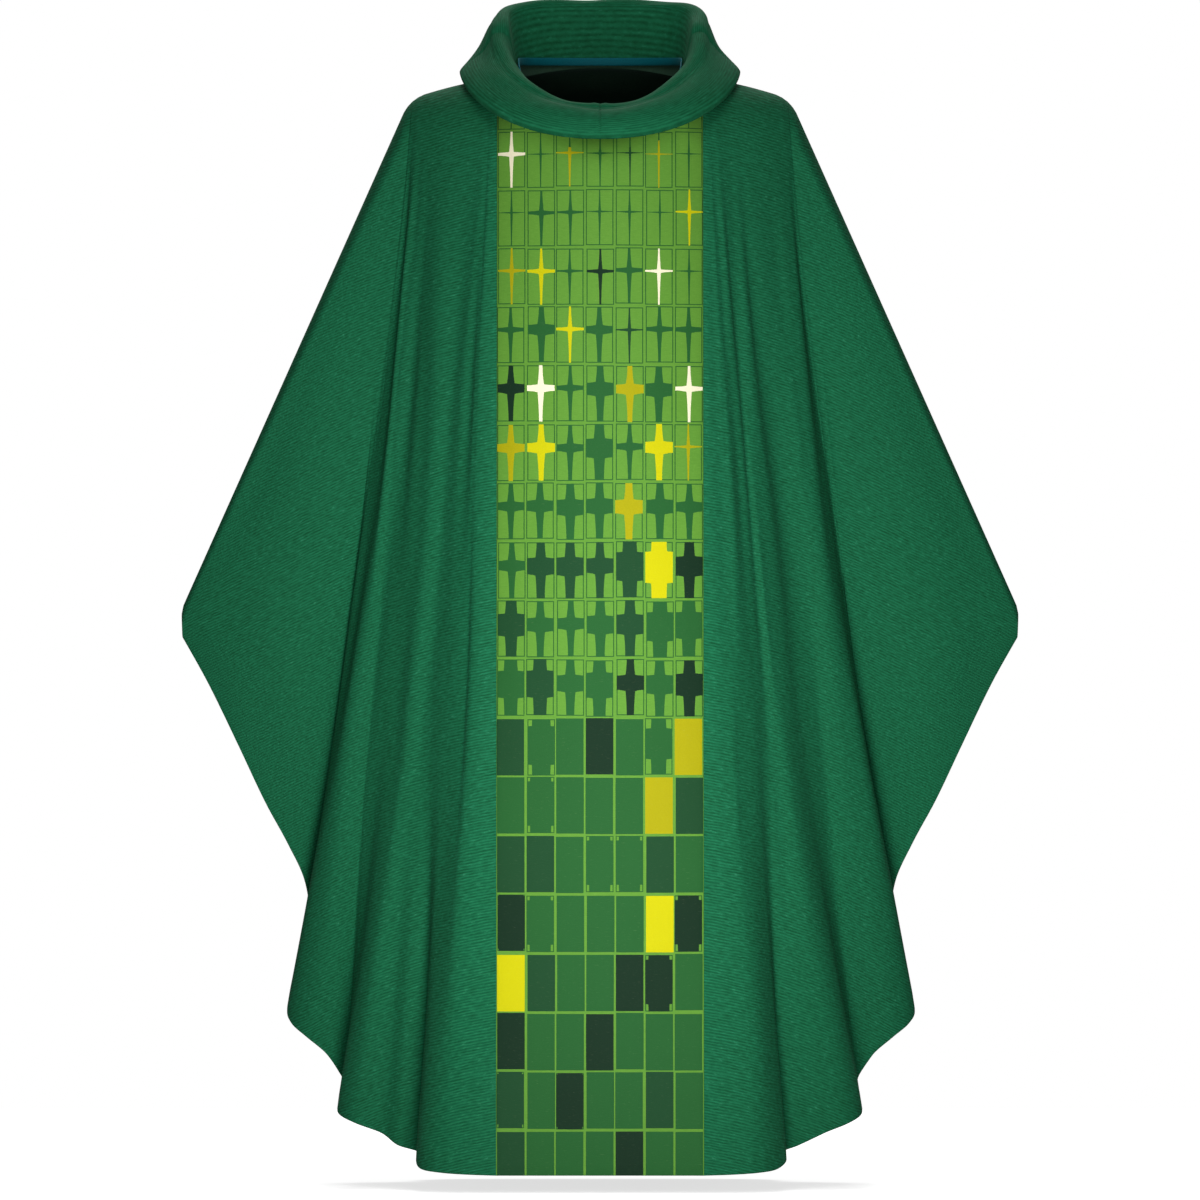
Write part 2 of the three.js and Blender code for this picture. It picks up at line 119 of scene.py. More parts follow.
RIGHT_FOLDS = LEFT_FOLDS.copy()
RIGHT_FOLDS[:, 0] = [0.00, 0.03, 0.05, 0.08, 0.12, 0.18, 0.30, 0.48, 0.64, 0.73, 0.79, 0.83, 0.87, 0.90,
                     0.93, 0.955, 0.98, 1.00, 1.05, 1.15, 1.35, 1.60, 1.82, 2.00]
RIGHT_FOLDS[6:10, 1] = [0.226, 0.243, 0.272, 0.292]
RIGHT_FOLDS[6:10, 2] = [0.127, 0.115, 0.118, 0.099]
BACK_FOLDS = LEFT_FOLDS.copy()
BACK_FOLDS[:, 0] = (LEFT_FOLDS[:, 0] + RIGHT_FOLDS[:, 0]) / 2
BACK_FOLDS[4:12, 7:9] = [0.05, 0.50]
BAND_KNOTS = 3
WING_KNOT = BAND_KNOTS + 17
LAST_KNOT = BAND_KNOTS + len(LEFT_FOLDS) - 1
FOLD_SPREAD = 3
FOLD_SOFTNESS = 1.3
FOLD_DEPTH_POWER = 0.7
FOLD_DEPTH_ABOVE = 0.60
CORNER_ROUNDING = 0.016
TIP_BLUNTING = 0.0035
print("fold lines per side:", len(LEFT_FOLDS), "back:", len(BACK_FOLDS))

# %% Blend values and read a table
def mix(low, high, share):
    """The value that lies a share of the way from low to high."""
    return low + (high - low) * share


def smooth(low, high, value):
    """0 below low, 1 above high, and an even S between them."""
    share = np.clip((value - low) / (high - low), 0, 1)
    return share * share * (3 - 2 * share)


def read_rows(rows, at):
    """A smooth curve through the rows of a table, read at fractional row numbers."""
    last = len(rows) - 1
    at = np.clip(at, 0, last)
    k = np.minimum(np.floor(at).astype(int), last - 1)
    a, b, c, d = (rows[np.clip(k + n, 0, last)] for n in (-1, 0, 1, 2))
    t = (at - k)[..., None]
    return b + 0.5 * t * (c - a + t * (2 * a - 5 * b + 4 * c - d + t * (3 * (b - c) + d - a)))


print("half way from 2 to 4:", mix(2, 4, 0.5), "smoothed:", smooth(0, 1, 0.25))

# %% [markdown]
# ## One formula for all the cloth
# Column u leaves the neckline (0 to 2), the seam beside the neck (2 to 3), the shoulder seam or the
# wing's ridge (3 to 26); v runs from 0 there to 1 at the hem. The height falls evenly with v. The way
# forward is a quarter ellipse over the shoulder plus a straight run to the hem, and the way out is the
# line of the fan. The side cloths, the bands and their facings and backings are cut from this one surface,
# so nothing can gape.

# %% Shape the cloth
FIVE_STEPS = (-1, -0.5, 0, 0.5, 1)


def seam_height(out):
    """The height of the shoulder seam, from the side of the neck to the shoulder point."""
    run = np.clip((out - NECK["half"]) / (SHOULDER[0] - NECK["half"]), 0, 1)
    return mix(NECK["side_z"], SHOULDER[1], run ** 1.6)


def seam_line(place):
    """The shoulder seam (place 0 to 1) and the wing's ridge (1 to 2), rounded between them and at the tip."""
    fall_length = SHOULDER[0] - BAND_HALF
    ridge_length = math.dist(SHOULDER, TIP)
    metres = np.where(place < 1, (place - 1) * fall_length, (place - 1) * ridge_length)
    reach = np.clip(np.minimum(metres + fall_length, ridge_length - metres), 0, CORNER_ROUNDING)
    out, z = 0.0, 0.0
    for k in FIVE_STEPS:
        at = metres + k * reach
        beyond = np.clip(at / ridge_length, 0, 1)
        side_out = SHOULDER[0] + np.minimum(at, 0)
        out = out + np.where(at > 0, mix(SHOULDER[0], TIP[0], beyond), side_out) / 5
        z = z + np.where(at > 0, mix(SHOULDER[1], TIP[1], beyond), seam_height(side_out)) / 5
    to_tip = np.clip(1 - (ridge_length - metres) / CORNER_ROUNDING, 0, 1)
    return out - TIP_BLUNTING * to_tip ** 2, z


print("shoulder point:", np.round(seam_line(np.array(1.0)), 4))

# %% Find where each column starts
def column_top(u, is_front, folds):
    """Where each column starts: how far out, how far forward, and how high."""
    angle = np.minimum(u, 2) * np.pi / 4
    end_z = NECK["front_z"] if is_front else NECK["back_z"]
    ring_out = NECK["half"] * np.sin(angle)
    ring_reach = NECK["front" if is_front else "back"] * np.cos(angle)
    ring_z = mix(NECK["side_z"], end_z, np.cos(angle) ** 2)
    seam_out, seam_z = seam_line(read_rows(folds, u - BAND_KNOTS)[..., 0])
    out = np.where(u > BAND_KNOTS, seam_out, mix(NECK["half"], BAND_HALF, np.clip(u - 2, 0, 1)))
    z = np.where(u > BAND_KNOTS, seam_z, seam_height(out))
    on_ring = u <= 2
    return np.where(on_ring, ring_out, out), np.where(on_ring, ring_reach, 0.0), np.where(on_ring, ring_z, z)


def hang(u, out):
    """How far forward the cloth stands below its seam, and the drop over which it rounds."""
    band = np.clip(out / BAND_HALF, 0, 1)
    fall = np.clip((out - BAND_HALF) / (SHOULDER[0] - BAND_HALF), 0, 1) ** 1.5
    wing = np.clip((out - SHOULDER[0]) / (TIP[0] - SHOULDER[0]), 0, 1)
    reach = np.where(u <= BAND_KNOTS, mix(CHEST_REACH, CHEST_EDGE_REACH, band ** 2),
                     np.where(u <= WING_KNOT, mix(CHEST_EDGE_REACH, WING_DEPTH, fall),
                              mix(WING_DEPTH, TIP_DEPTH, wing)))
    rounding = np.where(u <= BAND_KNOTS, mix(ROUNDING["middle"], ROUNDING["band_edge"], band ** 3),
                        np.where(u <= WING_KNOT, mix(ROUNDING["band_edge"], ROUNDING["shoulder"], fall),
                                 mix(ROUNDING["shoulder"], ROUNDING["tip"], wing)))
    return reach, rounding


def band_hem(is_front):
    """The height of the band's hem. Cloth that stands out further hangs a little shorter."""
    return -HEM_DROP + HEM_LIFT * (1.0 if is_front else BACK_FULLNESS)


print("band hem heights:", round(band_hem(True), 4), round(band_hem(False), 4))

# %% Drape the cloth
def drape(u, v, hand, is_front):
    """The cloth's outer face: points for columns u and rows v, hand 1 for the wearer's left."""
    u, v = np.broadcast_arrays(np.asarray(u, float), np.asarray(v, float))
    folds = (LEFT_FOLDS if hand > 0 else RIGHT_FOLDS) if is_front else BACK_FOLDS
    fullness = 1.0 if is_front else BACK_FULLNESS
    top_out, top_reach, top_z = column_top(u, is_front, folds)
    row = u - BAND_KNOTS
    folded = read_rows(folds, row)
    spread = np.clip(np.minimum(row, LAST_KNOT - u), 0, FOLD_SPREAD)
    soft_spread = np.minimum(spread, FOLD_SOFTNESS)
    ironed = sum(read_rows(folds, row + k * spread) for k in FIVE_STEPS) / 5
    softened = sum(read_rows(folds, row + k * soft_spread) for k in FIVE_STEPS) / 5
    turned = smooth(folded[..., 5], folded[..., 6], v)[..., None]
    hem = mix(ironed, folded, turned)
    fold_depth = (mix(softened, folded, turned) - ironed)[..., 2] * smooth(folded[..., 7], folded[..., 8], v)
    on_band = u <= BAND_KNOTS
    hem_out = np.where(on_band, top_out, hem[..., 1])
    edge_share = (top_out / BAND_HALF) ** 2
    hem_reach = fullness * np.where(on_band, HEM_REACH - HEM_BOW * edge_share, ironed[..., 2])
    hem_z = folded[..., 3] + HEM_LIFT * fullness * folded[..., 2] / folds[0, 2]
    hem_z = np.where(on_band, band_hem(is_front), hem_z)
    reach, rounding = hang(u, top_out)
    z = mix(top_z, hem_z, v)
    drop = np.clip((top_z - z) / np.minimum(rounding, (top_z - hem_z) * LONGEST_ROUNDING), 0, 1)
    over = np.sqrt(1 - (1 - drop) ** 2)
    flare = np.where(on_band, 1.0, folded[..., 4])
    y = mix(top_reach, reach, over) + (hem_reach - reach) * v
    deepening = np.maximum(v, 0) ** FOLD_DEPTH_POWER * (1 + FOLD_DEPTH_ABOVE * (1 - v))
    y = y + np.where(on_band, 0.0, fullness * fold_depth * deepening)
    x = mix(top_out, hem_out, v ** flare)
    return np.stack([hand * x, (-1 if is_front else 1) * y, z], axis=-1)


print("middle of the front hem:", drape(0, 1, 1, True).round(3))

# %% [markdown]
# ## Small movements of the cloth
# Large folds alone look like sheet metal. Real cloth also has slow swells a hand wide, which
# slide down along the columns, and hardly any of them where a seam or the chest holds the cloth. They
# are added square to the cloth, and fade to nothing at the seams, so neighbouring pieces still meet.

# %% Add slow swells
SWELLS = [
    # columns per wave, rows per wave, phase, height in metres
    (5.3, 1.7, 0.4, 0.0022),
    (3.1, 1.1, 2.1, 0.0013),
    (2.2, 0.55, 4.0, 0.0007),
]
print("swells:", len(SWELLS))

# %% Lift the cloth by its swells
def grid_normals(points, hand, is_front):
    """Unit normals of a grid of points, pointing out of the garment."""
    across = np.gradient(points, axis=0)
    down = np.gradient(points, axis=1)
    normals = np.cross(across, down)
    normals /= np.maximum(np.linalg.norm(normals, axis=-1, keepdims=True), 1e-12)
    return normals * (-1.0 if hand * (1 if is_front else -1) > 0 else 1.0)


def swell(u, v, hand, is_front):
    """How far the slow swells lift the cloth at each point of the grid."""
    shift = 0.9 * hand + (0.0 if is_front else 2.3)
    height = np.zeros(np.broadcast(u, v).shape)
    for columns, rows, phase, size in SWELLS:
        lean = 0.35 * np.sin(2 * np.pi * v / 1.9 + phase)
        height += size * np.sin(2 * np.pi * (u / columns + lean) + phase + shift) * np.cos(
            2 * np.pi * v / rows + phase * 1.7 + shift)
    off_seams = smooth(BAND_KNOTS, BAND_KNOTS + 2.5, u) * smooth(LAST_KNOT, LAST_KNOT - 2, u)
    return height * smooth(0.02, 0.25, v) * off_seams


def cloth_grid(u, v, hand, is_front, depth=0.0):
    """The cloth's points and normals for columns u and rows v, sunk by depth."""
    u = np.asarray(u, float)[:, None]
    v = np.asarray(v, float)[None, :]
    points = drape(u, v, hand, is_front)
    normals = grid_normals(points, hand, is_front)
    return points + normals * (swell(u, v, hand, is_front) - depth)[..., None], normals


print("largest swell, mm:", round(1000 * float(swell(np.linspace(3, 26, 90)[:, None],
                                                      np.linspace(0, 1, 60)[None, :], 1, True).max()), 2))

# %% [markdown]
# ## From a grid to a closed sheet
# Cloth has two faces and an edge. The inner face is the outer one moved in by the thickness, and a
# strip of faces joins them all round. A Solidify modifier would do the same, but making both faces here
# keeps the mesh final. The rows and columns next to an edge
# lie a millimetre inside it, so that smooth shading rounds the edge itself and not the cloth beside it.
# The UV map is in metres along the threads, measured on the cloth and not in space.

# %% Make closed sheets
def grid_faces(columns, rows, offset=0, flip=False):
    """Four corners for each cell of a grid whose vertex number is column * rows + row."""
    at = (np.arange(columns)[:, None] * rows + np.arange(rows)[None, :]) + offset
    corners = [at[:-1, :-1], at[:-1, 1:], at[1:, 1:], at[1:, :-1]]
    faces = np.stack([c.ravel() for c in corners], axis=1)
    return faces[:, ::-1] if flip else faces


def rim_faces(columns, rows, layer):
    """The strip that joins the two faces of a sheet round their edge."""
    at = np.arange(columns)[:, None] * rows + np.arange(rows)[None, :]
    loop = np.concatenate([at[:-1, 0], at[-1, :-1], at[:0:-1, -1], at[0, :0:-1]])
    after = np.roll(loop, -1)
    return np.stack([loop, after, after + layer, loop + layer], axis=1)


print("cells of a grid of 3 by 4:", len(grid_faces(3, 4)), "and its rim:", len(rim_faces(3, 4, 12)))

# %% Turn points and faces into an object
def new_object(name, data):
    """Makes an object of a mesh, camera or light and puts it in the scene."""
    made = bpy.data.objects.new(name, data)
    bpy.context.scene.collection.objects.link(made)
    return made


def make_mesh(name, points, faces, uv):
    """A smooth-shaded object at the origin, with outward faces and a UV map given per vertex."""
    mesh = bpy.data.meshes.new(name)
    mesh.from_pydata(points.reshape(-1, 3).tolist(), [], faces.tolist())
    layer = mesh.uv_layers.new(name="thread")
    corner = np.zeros(len(mesh.loops), np.int32)
    mesh.loops.foreach_get("vertex_index", corner)
    layer.data.foreach_set("uv", uv.reshape(-1, 2)[corner].astype(np.float32).ravel())
    mesh.shade_smooth()
    turn_outward(mesh)
    return new_object(name, mesh)


def turn_outward(mesh):
    """Flips the faces if the mesh is inside out, told by the sign of its volume."""
    co = np.zeros(len(mesh.vertices) * 3, np.float32)
    mesh.vertices.foreach_get("co", co)
    co = co.reshape(-1, 3).astype(float)
    mesh.calc_loop_triangles()
    tris = np.zeros(len(mesh.loop_triangles) * 3, np.int32)
    mesh.loop_triangles.foreach_get("vertices", tris)
    a, b, c = (co[tris.reshape(-1, 3)[:, n]] for n in range(3))
    if float(np.einsum("ij,ij->i", a, np.cross(b, c)).sum()) < 0:
        mesh.flip_normals()


print("meshes so far:", len(bpy.data.meshes))

# %% Close a sheet and lay its threads
def sheet_area(points):
    """The area of a grid of points, in square metres."""
    a, b, c, d = points[:-1, :-1], points[:-1, 1:], points[1:, 1:], points[1:, :-1]
    return float(np.linalg.norm(np.cross(c - a, b - d), axis=-1).sum() / 2)


def closed_sheet(name, points, normals, thickness, uv):
    """A sheet of cloth with both faces and its edge."""
    columns, rows = points.shape[:2]
    layer = columns * rows
    both = np.concatenate([points.reshape(-1, 3), (points - normals * thickness).reshape(-1, 3)])
    faces = np.concatenate([
        grid_faces(columns, rows),
        grid_faces(columns, rows, layer, flip=True),
        rim_faces(columns, rows, layer),
    ])
    piece = make_mesh(name, both, faces, np.concatenate([uv.reshape(-1, 2)] * 2))
    piece["area"] = sheet_area(points)
    return piece


def spaced(start, end, count, edge):
    """Even steps from start to end, with an extra step of size edge just inside both ends."""
    inner = np.linspace(start + 2.5 * edge, end - 2.5 * edge, count)
    return np.concatenate([[start, start + edge], inner, [end - edge, end]])


def thread_uv(points, slant=(0.0, 0.0)):
    """UV in metres: across the cloth along the weft, and up along the warp.

    Across is the length along each row of the grid. Up is the height, plus the slant that the weft takes
    as the cloth falls away from the middle: slant is that slope at the band and how it grows outward.
    """
    step = np.linalg.norm(np.diff(points, axis=0), axis=-1)
    across = np.concatenate([np.zeros((1, points.shape[1])), np.cumsum(step, axis=0)])
    out = np.abs(points[..., 0]) - np.abs(points[:1, :, 0])
    bend = slant[0] * out + slant[1] * np.minimum(out, 0.2) ** 2 + 0.4 * slant[1] * np.maximum(out - 0.2, 0)
    return np.stack([across, points[..., 2] + bend], axis=-1)


print("steps from 0 to 1:", spaced(0, 1, 3, 0.02))

# %% [markdown]
# ## The four side cloths
# On each side, front and back, one cloth runs from the band to the wing's edge. The CAD model has it as two
# nodes because the wing moves; cloth has no cut there, so one sheet stands for both. A seam is a shallow
# groove: both cloths turn in over the last millimetres before they meet.

# %% Make the side cloths
SIDE_COLUMNS = spaced(BAND_KNOTS, LAST_KNOT, 186, 0.02)
SIDE_ROWS = np.concatenate([np.linspace(0, 1, 134)[:-1] ** 2.1, [0.9985, 1]])
SEAM_LAP = 0.0012
SEAM_DEPTH = 0.00055
HEM_DEPTH = 0.00077
SEAM_WIDTH = 0.0022
sheets = {}


def edge_sink(points, from_seam):
    """How far a cloth turns in beside its seam and above its hem, which is its last row of points."""
    from_hem = np.linalg.norm(points - points[:, -1:], axis=-1)
    return (SEAM_DEPTH * np.exp(-((from_seam / SEAM_WIDTH) ** 2))
            + HEM_DEPTH * np.exp(-((from_hem / SEAM_WIDTH) ** 2)))


def side_cloth(hand, is_front):
    """The cloth of one side, from the band to the edge of the wing."""
    side = "left" if hand > 0 else "right"
    name = f"{side}_{'front' if is_front else 'back'}"
    points, normals = cloth_grid(SIDE_COLUMNS, SIDE_ROWS, hand, is_front)
    from_band = np.linalg.norm(points - points[:1], axis=-1)
    points = points - normals * edge_sink(points, from_band)[..., None]
    points[0] -= [hand * SEAM_LAP, 0, 0] + normals[0] * SEAM_LAP / 2
    piece = closed_sheet(f"{name}_side_cloth", points, normals, CLOTH, thread_uv(points, (0.17, 0.80)))
    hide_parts(f"{name}_fall", f"{name}_wing")
    sheets[piece.name] = {"flat": (0.52, 1.36), "held": "hung", "rests_on": f"{side}_shoulder_seam_tape"}
    return piece


def wing_blend(piece):
    """Bakes the piece's transform into its mesh."""
    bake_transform(piece)
    return piece


side_cloths = {}
for hand in (1, -1):
    for is_front in (True, False):
        piece = wing_blend(side_cloth(hand, is_front))
        side_cloths[piece.name] = piece
print({n: (len(p.data.polygons), round(p["area"], 3)) for n, p in side_cloths.items()})

# %% [markdown]
# ## The two orphrey bands
# The band is woven in panes: seven across and nineteen down. The grid's columns and rows are laid on the pane
# lines, so that a value stored on the faces of a pane has a sharp edge where the pane ends. Two values are
# stored: how far the figure in the pane has grown, and which thread colour it has. The layout comes from
# a seeded number generator: figures are slight at the top and fill their panes at the hem, as the rule of
# the pattern says, and bright threads are rare and mostly high up.

# %% Weave the orphrey bands
PANES_ACROSS = 7
PANES_DOWN = 19
PANE_WIDTH = 2 * BAND_HALF / PANES_ACROSS
PANE_HEIGHT = 0.0652
PANE_START = 0.0658
BAND_LEVEL = -0.100
TOP_ROW_LEVEL = -0.0647
BAND_ACROSS = np.linspace(-BAND_HALF, BAND_HALF, PANES_ACROSS * 12 + 1)
BAND_ACROSS = np.sort(np.concatenate([BAND_ACROSS, [-BAND_HALF + 0.0012, BAND_HALF - 0.0012]]))
THREADS = {"mid": 0.0, "deep": 1.0, "dark": 2.0, "yellow": 3.0, "ochre": 4.0, "cream": 5.0}


def band_grid(is_front, heights, depth=0.0, across=BAND_ACROSS):
    """The band's points and normals: columns at the places across, rows at the given heights.

    A row is level on the cloth, as a woven pane line is. Above the last level that the whole band reaches,
    the rows close up towards the neckline.
    """
    out = np.abs(across)
    ring = np.degrees(np.arcsin(np.clip(out / NECK["half"], 0, 1))) / 45
    beside = 2 + (out - NECK["half"]) / (BAND_HALF - NECK["half"])
    u = np.where(out <= NECK["half"], ring, beside)[:, None]
    top = column_top(u, is_front, LEFT_FOLDS)[2]
    level = np.asarray(heights)[None, :]
    share = np.clip((level - BAND_LEVEL) / -BAND_LEVEL, 0, 1)
    z = np.where(level > BAND_LEVEL, mix(BAND_LEVEL, top, share), level)
    points = drape(u, (top - z) / (top - band_hem(is_front)), 1, is_front)
    points[..., 0] *= np.where(across < 0, -1.0, 1.0)[:, None]
    normals = grid_normals(points, 1, is_front)
    return points - normals * depth, normals


print("pane size:", round(PANE_WIDTH, 4), PANE_HEIGHT)

# %% Lay out the panes
GROWTH_SCATTER = 0.10
NEARLY_FULL = 0.86
BRIGHT_HIGH, BRIGHT_LOW = 0.36, 0.07
BRIGHT_SHARES = {"yellow": 0.42, "ochre": 0.28, "cream": 0.30}


def pane_layout(seed):
    """How far each figure has grown, and its thread, for panes [row, column] from the top."""
    chance = np.random.default_rng(seed)
    down = (np.arange(PANES_DOWN) / (PANES_DOWN - 1))[:, None]
    scatter = chance.normal(0, GROWTH_SCATTER, (PANES_DOWN, PANES_ACROSS))
    grown = np.clip(1.15 * down ** 0.92 - 0.03 + scatter, 0.0, 1.0)
    grown = np.where(down > 0.62, np.maximum(grown, NEARLY_FULL), grown)
    grown = np.where((down > 0.6) & (chance.random(grown.shape) < 0.6), 1.0, grown)
    pick = chance.random(grown.shape)
    bright_share = np.where(down < 0.40, BRIGHT_HIGH, np.where(down < 0.85, BRIGHT_LOW, 0.0))
    thread = np.full(grown.shape, THREADS["mid"])
    thread = np.where(pick < 0.20 + 0.12 * down, THREADS["deep"], thread)
    thread = np.where(pick < 0.05 + 0.09 * down, THREADS["dark"], thread)
    bright = chance.random(grown.shape) < bright_share
    bright_kinds = [THREADS[name] for name in BRIGHT_SHARES]
    kind = chance.choice(bright_kinds, grown.shape, p=list(BRIGHT_SHARES.values()))
    kind = np.where((down > 0.4) & (kind == THREADS["cream"]), THREADS["ochre"], kind)
    thread = np.where(bright, kind, thread)
    grown[0], thread[0] = 0.0, THREADS["mid"]
    return grown, thread


def store_panes(piece, heights, grown, thread):
    """Writes each pane's two values on the faces that lie in it, on both faces of the cloth."""
    columns = len(BAND_ACROSS)
    middle_down = -(heights[:-1] + heights[1:]) / 2 - PANE_START
    middle_out = (BAND_ACROSS[:-1] + BAND_ACROSS[1:]) / 2
    column = np.clip(((middle_out + BAND_HALF) / PANE_WIDTH).astype(int), 0, PANES_ACROSS - 1)
    row = np.clip(np.floor(middle_down / PANE_HEIGHT).astype(int) + 1, 1, PANES_DOWN - 1)
    row = np.where(heights[:-1] > TOP_ROW_LEVEL, 0, row)
    cells = (columns - 1) * (len(heights) - 1)
    for label, values in (("pane_growth", grown), ("pane_thread", thread)):
        face = values[row[None, :], column[:, None]].ravel()
        rim = np.zeros(len(piece.data.polygons) - 2 * cells)
        layer = piece.data.attributes.new(label, "FLOAT", "FACE")
        layer.data.foreach_set("value", np.concatenate([face, face, rim]).astype(np.float32))


def band_heights(is_front):
    """Heights of the band's rows: every pane line, eight steps between them, and a row inside each edge."""
    lines = -PANE_START - PANE_HEIGHT * np.arange(1, PANES_DOWN)
    hem = band_hem(is_front)
    lines = np.concatenate([lines[lines > hem + 0.004], [hem]])
    steps = np.concatenate([np.linspace(a, b, 9)[1:] for a, b in zip(lines[:-1], lines[1:])])
    first = np.linspace(BAND_LEVEL, lines[0], 5)
    over_chest = BAND_LEVEL * np.linspace(0, 1, 32)[:-1] ** 1.8
    over_chest = np.sort(np.concatenate([over_chest[1:], [TOP_ROW_LEVEL]]))[::-1]
    return np.concatenate([[0.0], over_chest, first, steps[:-1], [hem + 0.0012, hem]])


print("rows of the front band:", len(band_heights(True)))

# %% Make both bands
def orphrey_band(is_front, seed):
    """One band with its panes. The seed settles their layout."""
    face = "front" if is_front else "back"
    heights = band_heights(is_front)
    points, normals = band_grid(is_front, heights)
    from_side = BAND_HALF - np.abs(points[..., 0])
    uv = np.stack([points[..., 0] + BAND_HALF, -points[..., 2] - PANE_START + PANE_HEIGHT], axis=-1)
    points = points - normals * edge_sink(points, from_side)[..., None]
    piece = closed_sheet(f"{face}_orphrey_band", points, normals, CLOTH, uv)
    store_panes(piece, heights, *pane_layout(seed))
    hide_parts(f"{face}_orphrey")
    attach(piece, "garment")
    sheets[piece.name] = {"flat": (0.26, 1.30), "held": "hung", "rests_on": "rolled_collar"}
    return piece


bands = {f: orphrey_band(f == "front", s) for f, s in (("front", 3077), ("back", 704))}
print({n: (len(p.data.polygons), round(p["area"], 3)) for n, p in bands.items()})

# %% [markdown]
# ## Facings, backings and tapes
# The inside of a garment decides how it hangs, and it shows from below and through the neck. A facing
# is a strip of thin cloth behind the hem, a backing keeps the band flat, and tapes keep the seams
# from stretching. Facings and backings are cut from the same surface, a little deeper, so they lie against
# their cloth; the tapes lie flat in the plane of their seams.

# %% Cut the linings and tapes
def finish_lining(piece, *nodes):
    """Says which CAD nodes an inner piece stands for."""
    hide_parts(*nodes)
    return piece


linings = {}
for hand in (1, -1):
    side = "left" if hand > 0 else "right"
    for is_front in (True, False):
        name = f"{side}_{'front' if is_front else 'back'}"
        u = spaced(BAND_KNOTS + 0.03, LAST_KNOT - 1, 110, 0.02)
        v = np.array([FACING_TOP, FACING_TOP + 0.0009, 0.975, 0.986, 0.9975, 0.9983])
        points, normals = cloth_grid(u, v, hand, is_front, depth=FACING_DEPTH)
        piece = closed_sheet(f"{name}_hem_lining", points, normals, FACING, thread_uv(points))
        finish_lining(piece, f"{name}_fall_hem_facing", f"{name}_wing_hem_facing")
        sheets[piece.name] = {"flat": (1.0, 0.045), "held": "hung", "rests_on": f"{name}_side_cloth"}
        linings[piece.name] = wing_blend(piece)


def band_lining(face, kind, node, margin, heights, flat):
    """A strip behind a band, cut a margin narrower than the band on both sides."""
    across = np.linspace(-BAND_HALF + margin, BAND_HALF - margin, 41)
    points, normals = band_grid(face == "front", heights, FACING_DEPTH, across)
    piece = closed_sheet(f"{face}_band_{kind}", points, normals, FACING, thread_uv(points))
    finish_lining(piece, f"{face}_orphrey_{node}")
    sheets[piece.name] = {"flat": flat, "held": "hung", "rests_on": f"{face}_orphrey_band"}
    linings[piece.name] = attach(piece, "garment")


BACKING_ROWS = np.concatenate([[-0.14, -0.1412], np.linspace(-0.15, -1.165, 90), [-1.1752, -1.1765]])
HEM_LINING_ROWS = np.array([0.045, 0.0438, 0.029, 0.016, 0.0030, 0.0018])
for face in ("front", "back"):
    band_lining(face, "backing", "backing", 0.006, BACKING_ROWS, (0.22, 1.08))
    hem = band_hem(face == "front")
    band_lining(face, "hem_lining", "hem_facing", 0.0015, hem + HEM_LINING_ROWS, (0.23, 0.045))
print("linings:", sorted(linings))

# %% Make the seam tapes
TAPE_THICKNESS = 0.0008
TAPE_ENDS_SHORT = 0.009
TAPE_BELOW_SEAM = 0.0042
TAPE_CROWN = 0.0003


def tape(name, start, end, width, node, hand):
    """A flat tape in the plane of the seam, below it by the drop of the CAD model."""
    start, end = np.array(start), np.array(end)
    length = np.linalg.norm(end - start)
    along = (end - start) / length
    inward = np.array([along[1], -along[0]])
    t = np.linspace(TAPE_ENDS_SHORT, length - TAPE_ENDS_SHORT, 40)
    line = start + t[:, None] * along + inward * TAPE_BELOW_SEAM
    y = np.linspace(-width / 2, width / 2, 7)
    points = np.zeros((len(t), len(y), 3))
    points[..., 0] = hand * line[:, None, 0]
    points[..., 1] = y[None, :]
    points[..., 2] = line[:, None, 1] - TAPE_CROWN * (np.abs(y)[None, :] / (width / 2)) ** 2
    normals = np.zeros_like(points)
    normals[..., 0], normals[..., 2] = -hand * inward[0], -inward[1]
    uv = np.stack(np.broadcast_arrays(t[:, None], y[None, :]), axis=-1)
    piece = closed_sheet(name, points, normals, TAPE_THICKNESS, uv)
    finish_lining(piece, node)
    sheets[name] = {"flat": (width, float(t[-1] - t[0])), "held": "stretched", "rests_on": []}
    return wing_blend(piece)


for hand in (1, -1):
    side = "left" if hand > 0 else "right"
    seam_start = (BAND_HALF, seam_height(BAND_HALF))
    runs = (("shoulder", seam_start, SHOULDER, 0.016), ("wing", SHOULDER, TIP, 0.010))
    for label, start, end, width in runs:
        piece = tape(f"{side}_{label}_seam_tape", start, end, width, f"{side}_{label}_tape", hand)
        linings[piece.name] = piece
print("inner pieces:", len(linings))

# %% [markdown]
# ## The rolled collar
# The collar is one strip, doubled, that stands up from the neckline, rolls over and lies on the shoulders.
# Its section is a path: foot, stand, half circle, belly and lower edge. Each point of the path runs
# round the neck on its own ring, and a ring is a superellipse, because the back of a rolled collar
# is squarer than its front. The lower edge is thicker, as the turned cloth is there.

# %% Draw the collar's rings
ROLL = {"half": 0.112, "front": 0.122, "back": 0.096, "front_z": -0.0365, "side_z": 0.048, "back_z": 0.089,
        "front_power": 2.0, "back_power": 3.2, "front_dip": 1.1, "back_dip": 0.55}
EDGE = {"half": 0.1565, "front": 0.158, "back": 0.130, "front_z": -0.0755, "side_z": 0.001, "back_z": 0.004,
        "front_power": 2.2, "back_power": 2.3, "front_dip": 1.4, "back_dip": 1.4}
STAND = {"half": 0.091, "front": 0.101, "back": 0.081, "front_z": -0.067, "side_z": -0.003, "back_z": 0.011,
         "front_power": 2.0, "back_power": 2.0, "front_dip": 2.0, "back_dip": 2.0}
RIBBON = {"half": 0.0925, "front": 0.100, "back": 0.0800, "front_z": -0.067, "side_z": 0.010, "back_z": 0.014,
          "front_power": 2.0, "back_power": 2.1, "front_dip": 1.1, "back_dip": 0.5}
ROLL_RADIUS = 0.011
